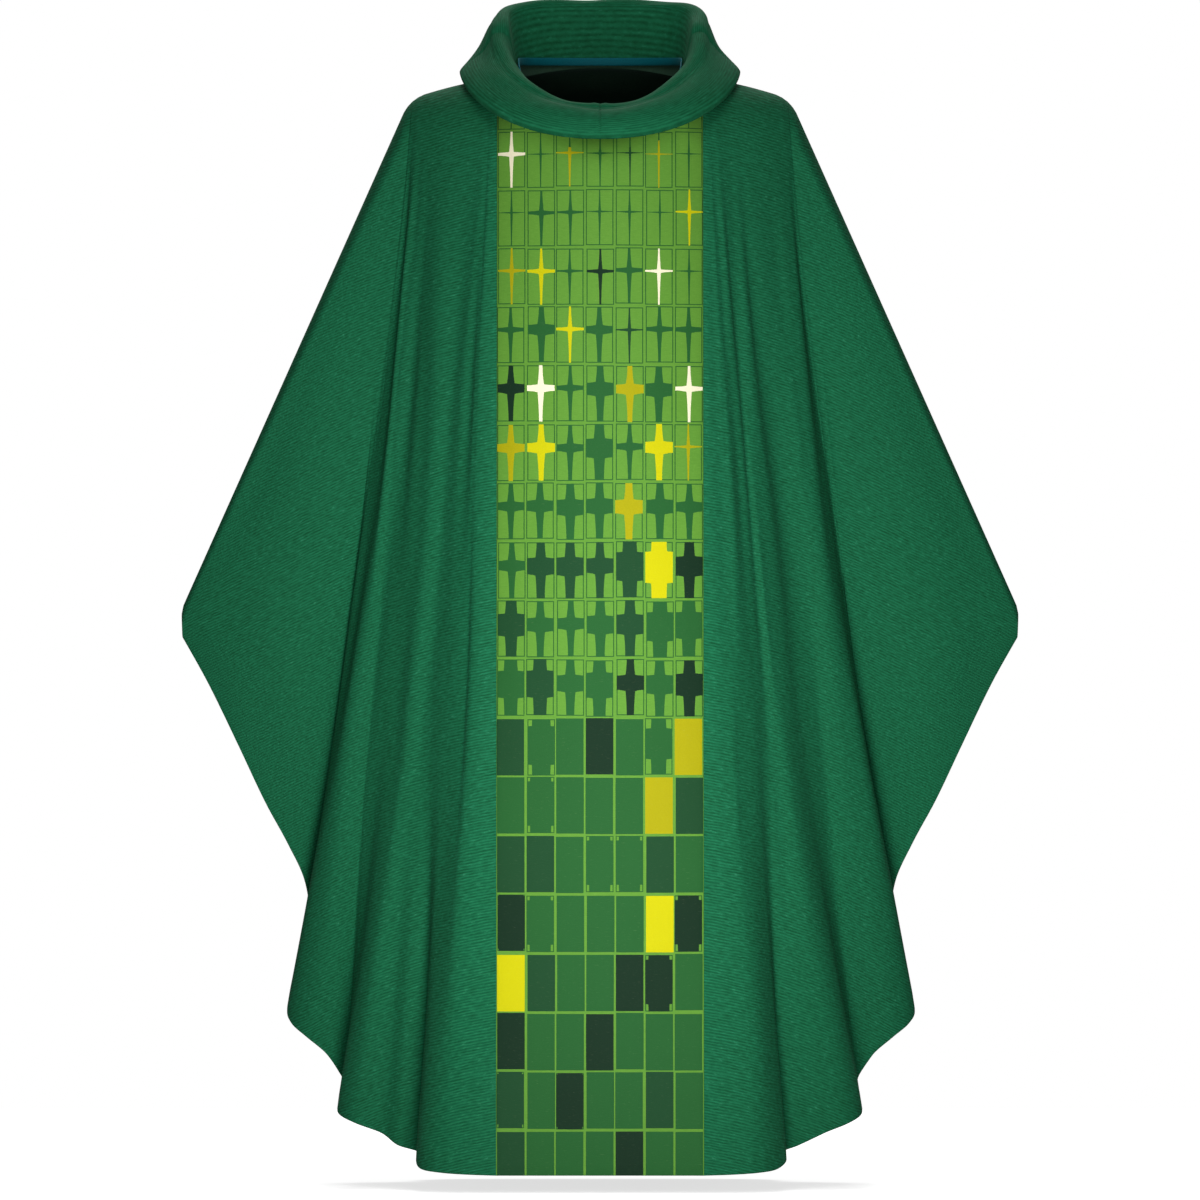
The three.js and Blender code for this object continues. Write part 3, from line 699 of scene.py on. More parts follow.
BELLY = 0.007
BELLY_AT_SIDE = -0.35


def ring(shape, angle):
    """Points of a ring at the given angles: 0 is the middle of the front, half a turn the back."""
    cosine, sine = np.cos(angle), np.sin(angle)
    is_front = cosine >= 0
    power = np.where(is_front, shape["front_power"], shape["back_power"])
    size = (np.abs(cosine) ** power + np.abs(sine) ** power) ** (-1 / power)
    end_z = np.where(is_front, shape["front_z"], shape["back_z"])
    reach = np.where(is_front, -shape["front"], shape["back"]) * np.abs(cosine) * size
    share = np.minimum(1, np.abs(cosine) * size) ** np.where(is_front, shape["front_dip"], shape["back_dip"])
    return np.stack([shape["half"] * sine * size, reach, mix(shape["side_z"], end_z, share)], axis=-1)


def collar_points(angle, p):
    """The collar's outer face: rows p of its path, at the given angles round the neck."""
    foot, fold, edge = ring(STAND, angle), ring(ROLL, angle), ring(EDGE, angle)
    outward = fold * [1, 1, 0]
    outward = outward / np.linalg.norm(outward, axis=-1, keepdims=True)
    centre = fold - [0, 0, ROLL_RADIUS]
    turn = [centre - outward * ROLL_RADIUS * math.cos(a) + np.array([0, 0, ROLL_RADIUS * math.sin(a)])
            for a in np.radians([0, 45, 90, 135, 180])]
    belly = mix(centre, edge, 0.5) + outward * BELLY * mix(BELLY_AT_SIDE, 1.0, np.cos(angle)[:, None] ** 2)
    path = np.stack([foot, mix(foot, turn[0], 0.5), *turn, belly, edge])
    rows = read_rows(path.reshape(len(path), -1), p)
    return rows.reshape(len(p), len(angle), 3).transpose(1, 0, 2)


print("front of the roll:", np.round(ring(ROLL, np.array([0.0])), 3))

# %% Close a ring round the neck
def closed_ring(name, outer, inner, uv):
    """A closed tube round the neck, from two grids [angle, row] that meet at both ends of their rows."""
    count, rows = outer.shape[:2]
    section = np.concatenate([outer, inner[:, ::-1]], axis=1)
    size = section.shape[1]
    at = np.arange(count)[:, None] * size + np.arange(size)[None, :]
    turned = np.roll(at, -1, axis=0)
    faces = np.stack([at, np.roll(at, -1, axis=1), np.roll(turned, -1, axis=1), turned], axis=-1)
    piece = make_mesh(name, section, faces.reshape(-1, 4), np.concatenate([uv, uv[:, ::-1]], axis=1))
    piece["area"] = sheet_area(np.concatenate([outer, outer[:1]]))
    return piece


EDGE_REACH = 0.13
COLLAR_SEAM = {"depth": 0.0015, "width": 0.0010, "pucker": 0.0008}
SEAM_STEPS = np.array([0.0006, 0.0013, 0.0021, 0.0032, 0.0045, 0.0060, 0.0078]) / EDGE_REACH
COLLAR_ANGLES = np.linspace(0, 2 * np.pi, 320, endpoint=False)
COLLAR_ANGLES = np.sort(np.concatenate([COLLAR_ANGLES, SEAM_STEPS, 2 * np.pi - SEAM_STEPS]))
COLLAR_ROWS = np.concatenate([[0, 0.03], np.linspace(0.1, 7.90, 84), [7.93, 7.96, 7.985, 8.0]])
COLLAR_CLOTH = 0.0020
PUFF = 0.0075
PUFF_AT_BACK = 0.15
EDGE_TURN = 0.0052


def collar_relief(angle, p):
    """Small uneven places of the collar: the seam in front, its puckers, and slow swells."""
    front = np.angle(np.exp(1j * angle))[:, None]
    row = p[None, :]
    seam = -COLLAR_SEAM["depth"] * np.exp(-((front * EDGE_REACH / COLLAR_SEAM["width"]) ** 2))
    seam = seam * smooth(8.0, 7.5, row) * smooth(3.6, 4.8, row)
    pucker = COLLAR_SEAM["pucker"] * np.exp(-(((np.abs(front) - 0.055) / 0.03) ** 2))
    pucker = pucker * smooth(6.4, 4.2, row) * smooth(2.6, 4.0, row)
    swells = 0.0013 * np.sin(3 * angle[:, None] + 0.9 * row) * np.cos(5 * angle[:, None] - 0.6 * row + 1.3)
    swells += 0.0007 * np.sin(9 * angle[:, None] + 1.7 * row + 0.6)
    held = smooth(0.5, 3.0, row) * smooth(8.1, 6.6, row)
    return seam + pucker + swells * held


def collar_normals(points, outer_row):
    """Unit normals, turned so that at the middle of the front the given row looks forward."""
    around = np.roll(points, -1, axis=0) - np.roll(points, 1, axis=0)
    normals = np.cross(np.gradient(points, axis=1), around)
    normals = normals / np.linalg.norm(normals, axis=-1, keepdims=True)
    return normals * (1.0 if normals[0, outer_row, 1] < 0 else -1.0)


def collar_uv(points):
    """UV in metres: round the collar at its middle row, and up its path."""
    middle = points[:, points.shape[1] // 2]
    round_step = np.linalg.norm(np.roll(middle, -1, axis=0) - middle, axis=-1)
    around = np.concatenate([[0], np.cumsum(round_step)[:-1]])
    path_step = np.linalg.norm(np.diff(points[0], axis=0), axis=-1)
    up = np.concatenate([[0], np.cumsum(path_step)])
    return np.stack(np.broadcast_arrays(around[:, None], up[None, :]), axis=-1)


print("collar grid:", len(COLLAR_ANGLES), "by", len(COLLAR_ROWS))

# %% Make the rolled collar
collar_base = collar_points(COLLAR_ANGLES, COLLAR_ROWS)
collar_out = collar_normals(collar_base, -12)
outer = collar_base + collar_out * collar_relief(COLLAR_ANGLES, COLLAR_ROWS)[..., None]
facing = smooth(-0.1, 0.75, np.cos(COLLAR_ANGLES))[:, None]
fullest = np.sin(np.pi * np.clip((COLLAR_ROWS - 5.2) / 2.8, 0, 1)) ** 0.8
turned_edge = np.sqrt(np.clip(1 - (COLLAR_ROWS - 7.0) ** 4, 0, 1)) * smooth(5.5, 7.4, COLLAR_ROWS)
puff = mix(PUFF_AT_BACK, 1.0, facing) * PUFF * fullest[None, :] + EDGE_TURN * turned_edge
outer = outer + collar_out * puff[..., None]
inner = collar_base - collar_out * COLLAR_CLOTH
collar = closed_ring("rolled_collar", outer, inner, collar_uv(collar_base))
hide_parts("collar_cloth")
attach(collar, "garment")
sheets[collar.name] = {"flat": (0.80, 0.16), "held": "folded",
                       "rests_on": ["front_orphrey_band", "back_orphrey_band"]}


print("collar faces:", len(collar.data.polygons))

# %% Make the lining in the roll
lining_rows = np.linspace(2.0, 6.0, 40)
lining_base = collar_points(COLLAR_ANGLES[::2], lining_rows)
lining_out = collar_normals(lining_base, -3)
upper_face = lining_base - lining_out * (COLLAR_CLOTH + 0.0009)
lower_face = upper_face - lining_out * FACING
interlining = closed_ring("collar_roll_lining", upper_face, lower_face, collar_uv(lining_base))
finish_lining(interlining, "collar_interlining")
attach(interlining, "garment")
sheets[interlining.name] = {"flat": (0.75, 0.045), "held": "folded", "rests_on": "rolled_collar"}
print("roll lining faces:", len(interlining.data.polygons))

# %% Make the neck ribbon
RIBBON_HEIGHT = 0.0086
RIBBON_THICKNESS = 0.0014
RIBBON_GAP = 0.0006
foot = ring(RIBBON, COLLAR_ANGLES)
foot_in = -foot * [1, 1, 0]
foot_in = foot_in / np.linalg.norm(foot_in, axis=-1, keepdims=True)
tape_rows = np.linspace(0, 1, 9)
rise = (-RIBBON_GAP + RIBBON_HEIGHT * tape_rows)[None, :, None] * np.array([0, 0, 1.0])
bow = 0.0005 * np.sin(np.pi * tape_rows)[None, :, None]
near = foot[:, None] + foot_in[:, None] * RIBBON_GAP + rise
far = near + foot_in[:, None] * (RIBBON_THICKNESS + bow)
neck_ribbon = closed_ring("neck_ribbon", far, near, collar_uv(far))
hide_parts("neck_tape")
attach(neck_ribbon, "garment")
sheets[neck_ribbon.name] = {"flat": (0.58, 0.010), "held": "stretched", "rests_on": "rolled_collar"}
print("ribbon faces:", len(neck_ribbon.data.polygons))

# %% [markdown]
# ## Helpers for node trees
# A material is a small program. These helpers keep it readable: one adds a node and fills or links its
# inputs, one does arithmetic, and one starts a shared group with named sockets. Sharing a group means that a
# change to the weave changes every cloth that uses it.

# %% Write the node helpers
def add(tree, kind, inputs=(), **settings):
    """Adds a node. inputs gives values or sockets by name or number."""
    node = tree.nodes.new(kind)
    for key, value in settings.items():
        setattr(node, key, value)
    for key, value in dict(inputs).items():
        if isinstance(value, bpy.types.NodeSocket):
            tree.links.new(value, node.inputs[key])
        else:
            node.inputs[key].default_value = value
    return node


def calc(tree, operation, *values, clamp=False):
    """One step of arithmetic on sockets or numbers."""
    return add(tree, "ShaderNodeMath", enumerate(values), operation=operation, use_clamp=clamp).outputs[0]


def blend_colour(tree, share, first, second):
    return add(tree, "ShaderNodeMix", {0: share, 6: first, 7: second}, data_type="RGBA").outputs[2]


def noise(tree, vector, scale=1.0, detail=2.0, roughness=0.5):
    """Soft random clouds, mostly between 0.3 and 0.7."""
    return add(tree, "ShaderNodeTexNoise", {"Vector": vector, "Scale": scale, "Detail": detail,
                                            "Roughness": roughness}).outputs[0]


def span(tree, value, low, high, to_low=0.0, to_high=1.0):
    """Maps low..high to to_low..to_high, smoothly and within those ends."""
    node = add(tree, "ShaderNodeMapRange", {0: value, 1: low, 2: high, 3: to_low, 4: to_high},
               interpolation_type="SMOOTHSTEP")
    return node.outputs[0]


print("node helpers:", [helper.__name__ for helper in (add, calc, blend_colour, noise, span)])

# %% Start groups and turn units
def new_group(name, inputs, outputs):
    """A shader node group. inputs and outputs are (name, socket type, default)."""
    tree = bpy.data.node_groups.new(name, "ShaderNodeTree")
    for label, kind, default in inputs:
        socket = tree.interface.new_socket(name=label, in_out="INPUT", socket_type=kind)
        if default is not None:
            socket.default_value = default
    for label, kind in outputs:
        tree.interface.new_socket(name=label, in_out="OUTPUT", socket_type=kind)
    source = tree.nodes.new("NodeGroupInput").outputs
    target = tree.nodes.new("NodeGroupOutput").inputs
    return tree, source, target


def colour(red, green, blue):
    """A colour given in screen values 0 to 255, as the linear colour that shaders want."""
    def linear(value):
        share = value / 255
        return share / 12.92 if share <= 0.04045 else ((share + 0.055) / 1.055) ** 2.4
    return (linear(red), linear(green), linear(blue), 1.0)


def scaled(tree, vector, x, y):
    """A vector in metres turned into steps of x and y metres."""
    node = add(tree, "ShaderNodeMapping", {0: vector}, vector_type="POINT")
    node.inputs["Scale"].default_value = (1 / x, 1 / y, 1)
    return node.outputs[0]


print("a mid grey in linear light:", np.round(colour(128, 128, 128), 3))

# %% [markdown]
# ## The slubbed weave, as one shared group
# A wool blend of this kind has uneven weft threads: each swells and thins along its length, so the cloth
# shows short pale dashes along the weft. Stretched noise gives the dashes: it changes fast from thread to
# thread and slowly along a thread. The options were a wave texture, which is too even, or noise that isn't
# stretched, which looks like felt. The group gives a shade, a fleck mask and a height.

# %% Build the weave group
WARP_PITCH = 0.0012
weave, given, made = new_group("slub_weave", [
    ("Thread Map", "NodeSocketVector", None),
    ("Thread Pitch", "NodeSocketFloat", 0.0017),
    ("Slub Length", "NodeSocketFloat", 0.013),
    ("Unevenness", "NodeSocketFloat", 0.6),
    ("Waviness", "NodeSocketFloat", 0.004),
], [("Shade", "NodeSocketFloat"), ("Fleck", "NodeSocketFloat"), ("Height", "NodeSocketFloat")])
parts = add(weave, "ShaderNodeSeparateXYZ", {0: given["Thread Map"]}).outputs
drift = noise(weave, scaled(weave, given["Thread Map"], 0.06, 0.03))
up = calc(weave, "MULTIPLY_ADD", drift, given["Waviness"], parts["Y"])
thread_across = calc(weave, "DIVIDE", parts["X"], given["Slub Length"])
thread_up = calc(weave, "DIVIDE", up, given["Thread Pitch"])
where_on_thread = add(weave, "ShaderNodeCombineXYZ", {0: thread_across, 1: thread_up}).outputs[0]
fine = add(weave, "ShaderNodeVectorMath", {0: where_on_thread, 1: (1.0, 1.35, 1.0)}, operation="MULTIPLY")
slub = noise(weave, fine.outputs[0], detail=3.0, roughness=0.65)
broad = add(weave, "ShaderNodeVectorMath", {0: where_on_thread, 1: (0.45, 0.34, 1.0)}, operation="MULTIPLY")
broad_slub = noise(weave, broad.outputs[0])
rib = calc(weave, "SINE", calc(weave, "MULTIPLY", thread_up, 2 * math.pi))
pick = calc(weave, "SINE", calc(weave, "MULTIPLY", parts["X"], 2 * math.pi / WARP_PITCH))
crossing = calc(weave, "MULTIPLY", rib, pick)
slub_even = span(weave, slub, 0.30, 0.70)
broad_even = span(weave, broad_slub, 0.34, 0.66)
shade = calc(weave, "MULTIPLY_ADD", slub_even, 0.44, calc(weave, "MULTIPLY", broad_even, 0.12))
shade = calc(weave, "ADD", shade, calc(weave, "MULTIPLY_ADD", rib, 0.25, 0.22))
weave.links.new(shade, made["Shade"])
weave.links.new(span(weave, slub, 0.60, 0.76), made["Fleck"])
height = calc(weave, "ADD", calc(weave, "MULTIPLY", slub_even, given["Unevenness"]),
              calc(weave, "MULTIPLY_ADD", crossing, 0.10, calc(weave, "MULTIPLY", rib, 0.16)))
weave.links.new(height, made["Height"])
print("sockets of the weave:", [item.name for item in weave.interface.items_tree])

# %% Build the age group
wear, given, made = new_group("cloth_age", [
    ("Place", "NodeSocketVector", None),
    ("Dye Drift", "NodeSocketFloat", 0.10),
], [("Brightness", "NodeSocketFloat"), ("Roughness Shift", "NodeSocketFloat")])
cloud = noise(wear, given["Place"], scale=3.2, detail=3.0)
fuzz = noise(wear, given["Place"], scale=900.0, detail=1.0)
bright = calc(wear, "MULTIPLY_ADD", calc(wear, "SUBTRACT", cloud, 0.5), given["Dye Drift"], 1.0)
bright = calc(wear, "MULTIPLY_ADD", calc(wear, "SUBTRACT", fuzz, 0.5), 0.12, bright)
wear.links.new(bright, made["Brightness"])
wear.links.new(calc(wear, "MULTIPLY", calc(wear, "SUBTRACT", cloud, 0.5), 0.12), made["Roughness Shift"])
print("groups:", [g.name for g in bpy.data.node_groups])


# %% [markdown]
# ## Green wool
# The base colour runs from a deep to a lit green with the shade of the weave, and flecks are a little
# paler and bluer. Cloth is rough with a soft sheen at grazing angles, where fibre ends catch the light; the
# sheen weight is a constant of the cloth, so it is set on the shader and not driven.

# %% Start a cloth material
def start_material(name, roughness, sheen, sheen_tint):
    """A new cloth material: rough, hardly shiny, with a soft sheen."""
    material = bpy.data.materials.new(name)
    material.use_nodes = True
    tree = material.node_tree
    shader = tree.nodes["Principled BSDF"]
    shader.inputs["Roughness"].default_value = roughness
    shader.inputs["Specular IOR Level"].default_value = 0.12
    shader.inputs["Sheen Weight"].default_value = sheen
    shader.inputs["Sheen Roughness"].default_value = 0.45
    shader.inputs["Sheen Tint"].default_value = sheen_tint
    return material, tree, shader


def use_group(tree, name, inputs):
    return add(tree, "ShaderNodeGroup", inputs, node_tree=bpy.data.node_groups[name]).outputs


def cloth_places(tree):
    """What every cloth material starts from: the thread map, and the place on the piece."""
    thread = add(tree, "ShaderNodeUVMap", uv_map="thread").outputs[0]
    return thread, add(tree, "ShaderNodeTexCoord").outputs["Object"]


def finish_material(tree, shader, base, age, height, bump_distance, bump_strength):
    """Joins colour, roughness and bump to the shader."""
    toned = add(tree, "ShaderNodeVectorMath", {0: base}, operation="SCALE")
    tree.links.new(age["Brightness"], toned.inputs["Scale"])
    tree.links.new(toned.outputs[0], shader.inputs["Base Color"])
    rough = calc(tree, "ADD", age["Roughness Shift"], shader.inputs["Roughness"].default_value, clamp=True)
    tree.links.new(rough, shader.inputs["Roughness"])
    bump = add(tree, "ShaderNodeBump", {"Height": height, "Distance": bump_distance,
                                        "Strength": bump_strength})
    tree.links.new(bump.outputs[0], shader.inputs["Normal"])


print("a wool colour in linear light:", np.round(colour(26, 112, 76), 3))

# %% Make the green wool
def wool_material(name, deep, lit, fleck, pitch, slub, waviness, bump):
    material, tree, shader = start_material(name, 0.85, 0.03, colour(90, 200, 140))
    thread, place = cloth_places(tree)
    woven = use_group(tree, "slub_weave", {"Thread Map": thread, "Thread Pitch": pitch, "Slub Length": slub,
                                           "Waviness": waviness})
    age = use_group(tree, "cloth_age", {"Place": place})
    base = blend_colour(tree, woven["Shade"], deep, lit)
    base = blend_colour(tree, calc(tree, "MULTIPLY", woven["Fleck"], 0.45), base, fleck)
    finish_material(tree, shader, base, age, woven["Height"], 0.0007, bump)
    return material


green_wool = wool_material("green_wool_cloth", colour(8, 70, 40), colour(26, 112, 76), colour(66, 146, 112),
                           0.0032, 0.008, 0.004, 0.55)
collar_wool = wool_material("green_wool_collar", colour(8, 74, 44), colour(24, 110, 74), colour(50, 132, 98),
                            0.0022, 0.010, 0.001, 0.30)
print("wool materials:", green_wool.name, "and", collar_wool.name)

# %% [markdown]
# ## The orphrey weave
# The band's figure is drawn by arithmetic on the place inside a pane. It is an upright bar and two arms. Both
# narrow towards their ends, which makes a star, and both widen as the figure grows, which gives every
# stage from a spark to a full pane. Each pane has a thin outline and sits a little off its place, as woven
# panes do. Which thread a pane is woven in comes from the value stored on its faces.

# %% Build the pane figure group
ARM_LEVEL = 0.40
ARM_ABOVE, ARM_BELOW = 0.37, 0.56
STAR_TAPER = 1.8
PANE_MARGIN = 0.022
OUTLINE_WIDTH = 0.0011
figure, given, made = new_group("pane_figure", [
    ("Thread Map", "NodeSocketVector", None),
    ("Growth", "NodeSocketFloat", 0.5),
], [("Figure", "NodeSocketFloat"), ("Outline", "NodeSocketFloat")])
wobble = noise(figure, scaled(figure, given["Thread Map"], 0.0011, 0.0011), detail=0.0)
wobble = calc(figure, "MULTIPLY", calc(figure, "SUBTRACT", wobble, 0.5), 0.014)
parts = add(figure, "ShaderNodeSeparateXYZ", {0: given["Thread Map"]}).outputs
pane_x = calc(figure, "DIVIDE", parts["X"], PANE_WIDTH)
pane_y = calc(figure, "DIVIDE", parts["Y"], PANE_HEIGHT)
whole_x, whole_y = calc(figure, "FLOOR", pane_x), calc(figure, "FLOOR", pane_y)
pane = add(figure, "ShaderNodeCombineXYZ", {0: whole_x, 1: whole_y}).outputs[0]
random_pane = add(figure, "ShaderNodeTexWhiteNoise", {0: pane}).outputs[1]
shift = add(figure, "ShaderNodeSeparateXYZ", {0: random_pane})
shift_x = calc(figure, "MULTIPLY_ADD", shift.outputs[0], 0.05, -0.025)
shift_y = calc(figure, "MULTIPLY_ADD", shift.outputs[1], 0.026, -0.013)
in_x = calc(figure, "ADD", calc(figure, "FRACT", pane_x), shift_x)
in_x = calc(figure, "ABSOLUTE", calc(figure, "MULTIPLY_ADD", in_x, 2.0, -1.0))
in_x = calc(figure, "ADD", calc(figure, "DIVIDE", in_x, 0.93), wobble)
in_y = calc(figure, "ADD", calc(figure, "FRACT", pane_y), shift_y)
above = calc(figure, "DIVIDE", calc(figure, "SUBTRACT", ARM_LEVEL, in_y), ARM_ABOVE)
below = calc(figure, "DIVIDE", calc(figure, "SUBTRACT", in_y, ARM_LEVEL), ARM_BELOW)
arm_y = calc(figure, "ADD", calc(figure, "MAXIMUM", above, below), wobble)
to_side = calc(figure, "MULTIPLY", calc(figure, "SUBTRACT", 1.0, in_x), 0.465 * PANE_WIDTH)
to_top = calc(figure, "MULTIPLY", calc(figure, "SUBTRACT", in_y, PANE_MARGIN), PANE_HEIGHT)
to_foot = calc(figure, "MULTIPLY", calc(figure, "SUBTRACT", 1 - PANE_MARGIN, in_y), PANE_HEIGHT)
to_edge = calc(figure, "MINIMUM", to_side, calc(figure, "MINIMUM", to_top, to_foot))
inside = calc(figure, "GREATER_THAN", to_edge, 0.0)
swollen = calc(figure, "POWER", given["Growth"], 2.0)
spark = calc(figure, "MULTIPLY_ADD", given["Growth"], 2.0, 0.25, clamp=True)
to_end_y, to_end_x = (
    calc(figure, "POWER", calc(figure, "MAXIMUM", calc(figure, "SUBTRACT", 1.0, at), 0.0), STAR_TAPER)
    for at in (arm_y, in_x))
bar = calc(figure, "MULTIPLY_ADD", swollen, 0.98, 0.040)
bar = calc(figure, "MULTIPLY_ADD", calc(figure, "MULTIPLY", spark, to_end_y), 0.17, bar)
upright = calc(figure, "LESS_THAN", in_x, bar)
arm_height = calc(figure, "MULTIPLY_ADD", swollen, 1.08, 0.010)
arm_height = calc(figure, "MULTIPLY_ADD", calc(figure, "MULTIPLY", spark, to_end_x), 0.085, arm_height)
arms = calc(figure, "LESS_THAN", arm_y, arm_height)
shape = calc(figure, "MAXIMUM", upright, arms)
figure.links.new(calc(figure, "MULTIPLY", shape, inside), made["Figure"])
by_edge = calc(figure, "LESS_THAN", to_edge, OUTLINE_WIDTH)
figure.links.new(calc(figure, "MULTIPLY", inside, by_edge), made["Outline"])
print("sockets of the figure:", [item.name for item in figure.interface.items_tree])

# %% Make the orphrey weave
orphrey, tree, shader = start_material("orphrey_jacquard", 0.72, 0.06, colour(200, 220, 160))
thread, place = cloth_places(tree)
growth = add(tree, "ShaderNodeAttribute", attribute_name="pane_growth").outputs["Fac"]
which = add(tree, "ShaderNodeAttribute", attribute_name="pane_thread").outputs["Fac"]
shape = use_group(tree, "pane_figure", {"Thread Map": thread, "Growth": growth})
woven = use_group(tree, "slub_weave", {"Thread Map": thread, "Thread Pitch": 0.0011, "Slub Length": 0.006})
age = use_group(tree, "cloth_age", {"Place": place, "Dye Drift": 0.06})
THREAD_COLOURS = [colour(34, 90, 42), colour(25, 68, 38), colour(16, 44, 27), colour(194, 189, 3),
                  colour(162, 156, 8), colour(240, 232, 200)]
ramp = add(tree, "ShaderNodeValToRGB", {0: calc(tree, "DIVIDE", calc(tree, "ADD", which, 0.5), 6.0)})
ramp.color_ramp.interpolation = "CONSTANT"
while len(ramp.color_ramp.elements) < len(THREAD_COLOURS):
    ramp.color_ramp.elements.new(0.5)
for n, (element, value) in enumerate(zip(ramp.color_ramp.elements, THREAD_COLOURS)):
    element.position = n / len(THREAD_COLOURS)
    element.color = value
ground = blend_colour(tree, woven["Shade"], colour(84, 136, 46), colour(98, 150, 54))
base = blend_colour(tree, shape["Outline"], ground, colour(40, 92, 40))
base = blend_colour(tree, shape["Figure"], base, ramp.outputs[0])
base = blend_colour(tree, calc(tree, "MULTIPLY", woven["Fleck"], 0.06), base, colour(210, 220, 170))
finish_material(tree, shader, base, age, woven["Height"], 0.0003, 0.35)
print("thread colours:", len(THREAD_COLOURS))

# %% [markdown]
# ## Lining and neck ribbon
# Facing cloth is a plain twill: fine diagonal ribs, a narrow dark green. The ribbon at the neck is a woven
# tape in petrol blue with ribs across it. Both use the shared age group, so they belong to the same garment.

# %% Make the lining and the ribbon
def ribbed_material(name, deep, lit, pitch, lean, roughness):
    material, tree, shader = start_material(name, roughness, 0.05, colour(160, 200, 200))
    thread, place = cloth_places(tree)
    parts = add(tree, "ShaderNodeSeparateXYZ", {0: thread}).outputs
    leaning = calc(tree, "MULTIPLY_ADD", parts["Y"], lean, parts["X"])
    rib = calc(tree, "SINE", calc(tree, "MULTIPLY", leaning, 2 * math.pi / pitch))
    yarn = noise(tree, scaled(tree, thread, 0.0016, 0.0016))
    share = calc(tree, "MULTIPLY_ADD", rib, 0.28, calc(tree, "MULTIPLY", yarn, 0.9), clamp=True)
    age = use_group(tree, "cloth_age", {"Place": place})
    finish_material(tree, shader, blend_colour(tree, share, deep, lit), age, share, 0.0003, 0.5)
    return material


lining_twill = ribbed_material("facing_twill", colour(36, 60, 46), colour(54, 84, 66), 0.0016, 1.0, 0.8)
ribbon_braid = ribbed_material("neck_ribbon_braid", colour(0, 84, 96), colour(4, 112, 122), 0.0012, 0.0, 0.6)
print("linings wear", lining_twill.name, "and the ribbon wears", ribbon_braid.name)

# %% Dress every piece
def wear_material(piece, material):
    """Gives a piece one material for all its faces."""
    piece.data.materials.clear()
    piece.data.materials.append(material)


def second_material(piece, material, faces):
    """Gives a second material to the faces where the mask is true."""
    piece.data.materials.append(material)
    piece.data.polygons.foreach_set("material_index", faces.astype(np.int32))


for piece in side_cloths.values():
    wear_material(piece, green_wool)
for face, piece in bands.items():
    wear_material(piece, orphrey)
    cells = (len(BAND_ACROSS) - 1) * (len(band_heights(face == "front")) - 1)
    number = np.arange(len(piece.data.polygons))
    centre = np.zeros(3 * len(number), np.float32)
    piece.data.polygons.foreach_get("center", centre)
    neck_rim = centre[2::3] > BAND_LEVEL
    second_material(piece, lining_twill, (number >= cells) & ((number < 2 * cells) | neck_rim))
for piece in [*linings.values(), interlining]:
    wear_material(piece, lining_twill)
wear_material(collar, collar_wool)
under_ribbon = (collar_base[..., 2] < ring(RIBBON, COLLAR_ANGLES)[:, None, 2]) & (COLLAR_ROWS < 1.2)
second_material(collar, lining_twill, np.concatenate([under_ribbon, under_ribbon[:, ::-1]], axis=1).ravel())
wear_material(neck_ribbon, ribbon_braid)
print("materials:", len(bpy.data.materials))

# %% [markdown]
# ## The sheets' flat sizes
# Every piece is cloth of a known cut. The flat sizes are those of the pattern pieces, laid out before
# sewing; the area is measured on the hanging cloth, since it neither stretches nor shrinks.

# %% Read every sheet's flat size
for name, facts in sheets.items():
    piece = bpy.data.objects[name]
    width, length = facts["flat"]

# %% [markdown]
# ## Camera, floor and light
# The camera looks straight at the front from far away with a long lens, which keeps the outline true. The
# floor and the sky are near white. A tall soft light stands close in front of the middle, so the cloth
# darkens gently towards the wings; a weak one hangs above it, one behind lays the shadow before the hem,
# and the sky fills in. The floor's glow is painted light that only the camera sees: it is weakest near the
# middle, which paints shade round the hem, and grows with the distance from the middle until the floor is
# as bright as the sky, so no horizon shows and the cloth isn't lit from below.

# %% Set the camera
CAMERA_DISTANCE = 16.0
VIEW_WIDTH = 1.344
VIEW_HEIGHT = -0.588
camera_data = bpy.data.cameras.new("camera")
camera_data.sensor_width = 36
camera_data.lens = camera_data.sensor_width * CAMERA_DISTANCE / VIEW_WIDTH
camera_data.clip_end = 100
camera = new_object("camera", camera_data)
camera.location = (0, -CAMERA_DISTANCE, VIEW_HEIGHT)
camera.rotation_euler = (math.radians(90), 0, 0)
bpy.context.scene.camera = camera
print("lens, mm:", round(camera_data.lens, 1))

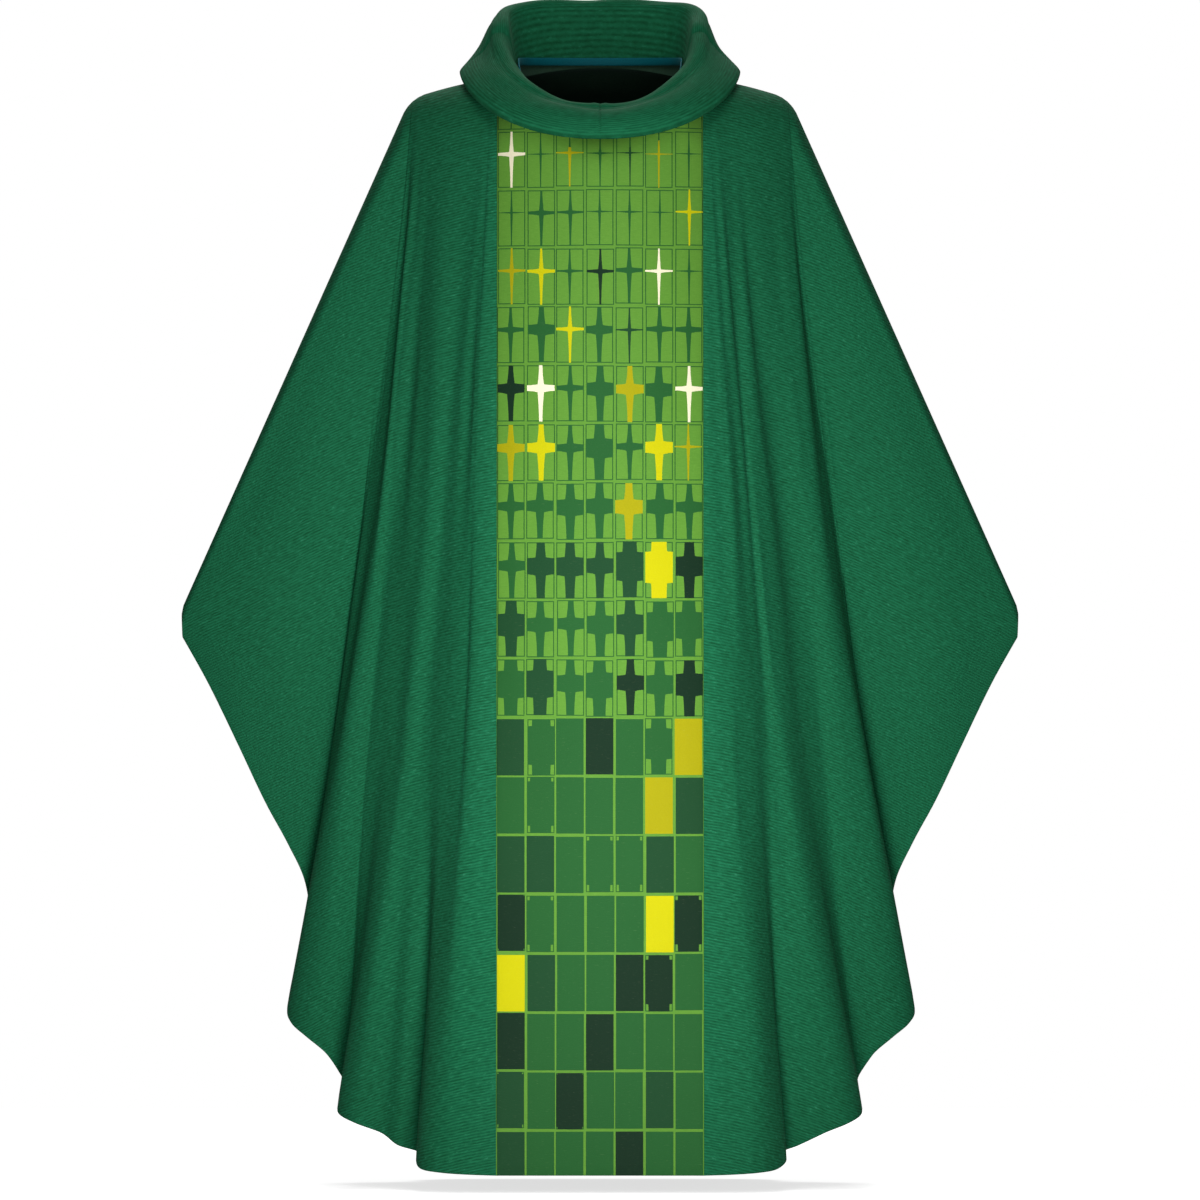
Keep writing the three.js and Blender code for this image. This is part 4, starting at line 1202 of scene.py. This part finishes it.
# %% Lay the floor
FLOOR = 2.4
FLOOR_GAP = 0.012
floor_mesh = bpy.data.meshes.new("floor")
corners = [(-FLOOR, -FLOOR, 0), (FLOOR, -FLOOR, 0), (FLOOR, FLOOR, 0), (-FLOOR, FLOOR, 0)]
floor_mesh.from_pydata(corners, [], [(0, 1, 2, 3)])
floor = new_object("floor", floor_mesh)
floor.location = (0, 0, -HEM_DROP - FLOOR_GAP)
floor_material, tree, shader = start_material("floor_pale", 0.9, 0.0, colour(255, 255, 255))
place = add(tree, "ShaderNodeTexCoord").outputs["Object"]
paint = blend_colour(tree, noise(tree, place, scale=40.0), (0.86, 0.86, 0.86, 1), (0.90, 0.90, 0.90, 1))
tree.links.new(paint, shader.inputs["Base Color"])
shader.inputs["Emission Strength"].default_value = 1.0
seen = add(tree, "ShaderNodeLightPath").outputs["Is Camera Ray"]
from_middle = add(tree, "ShaderNodeVectorMath", {0: place}, operation="LENGTH").outputs["Value"]
# Painted light on the floor, for the camera only: weakest near the middle, which paints shade round the hem,
# and brighter outward.
painted_floor_light = calc(tree, "MULTIPLY", seen, span(tree, from_middle, 0.4, 2.2, 0.70, 0.97))
tree.links.new(blend_colour(tree, painted_floor_light, (0, 0, 0, 1), (1, 1, 1, 1)), shader.inputs["Emission Color"])
floor_mesh.materials.append(floor_material)
print("floor height:", round(floor.location.z, 4))

# %% Light the scene
SKY_LIGHT = 0.16
LIGHT_AIM = -0.55
world = bpy.data.worlds.new("studio")
world.use_nodes = True
sky = world.node_tree.nodes["Background"]
sky.inputs[0].default_value = (1, 1, 1, 1)
seen = add(world.node_tree, "ShaderNodeLightPath").outputs["Is Camera Ray"]
brightness = calc(world.node_tree, "MULTIPLY_ADD", seen, 1.0 - SKY_LIGHT, SKY_LIGHT)
world.node_tree.links.new(brightness, sky.inputs[1])
bpy.context.scene.world = world


def soft_light(name, place, width, height, power, spread):
    """An area light that faces the middle of the garment."""
    data = bpy.data.lights.new(name, "AREA")
    data.shape = "RECTANGLE"
    data.size = width
    data.size_y = height
    data.energy = power
    data.spread = math.radians(spread)
    light = new_object(name, data)
    light.visible_camera = False
    light.location = place
    toward = np.array([0, 0, LIGHT_AIM]) - np.array(place)
    flat = math.hypot(toward[0], toward[1])
    light.rotation_euler = (math.pi / 2 - math.atan2(-toward[2], flat), 0, math.atan2(-toward[0], toward[1]))


soft_light("key", (0.03, -1.02, -0.66), 0.40, 1.14, 6.2, 120)
soft_light("top", (0.0, -1.2, 2.2), 1.4, 1.4, 8.0, 120)
soft_light("behind", (0.0, 1.3, 1.2), 1.6, 0.8, 12.0, 140)
bpy.context.scene.view_settings.view_transform = "Standard"
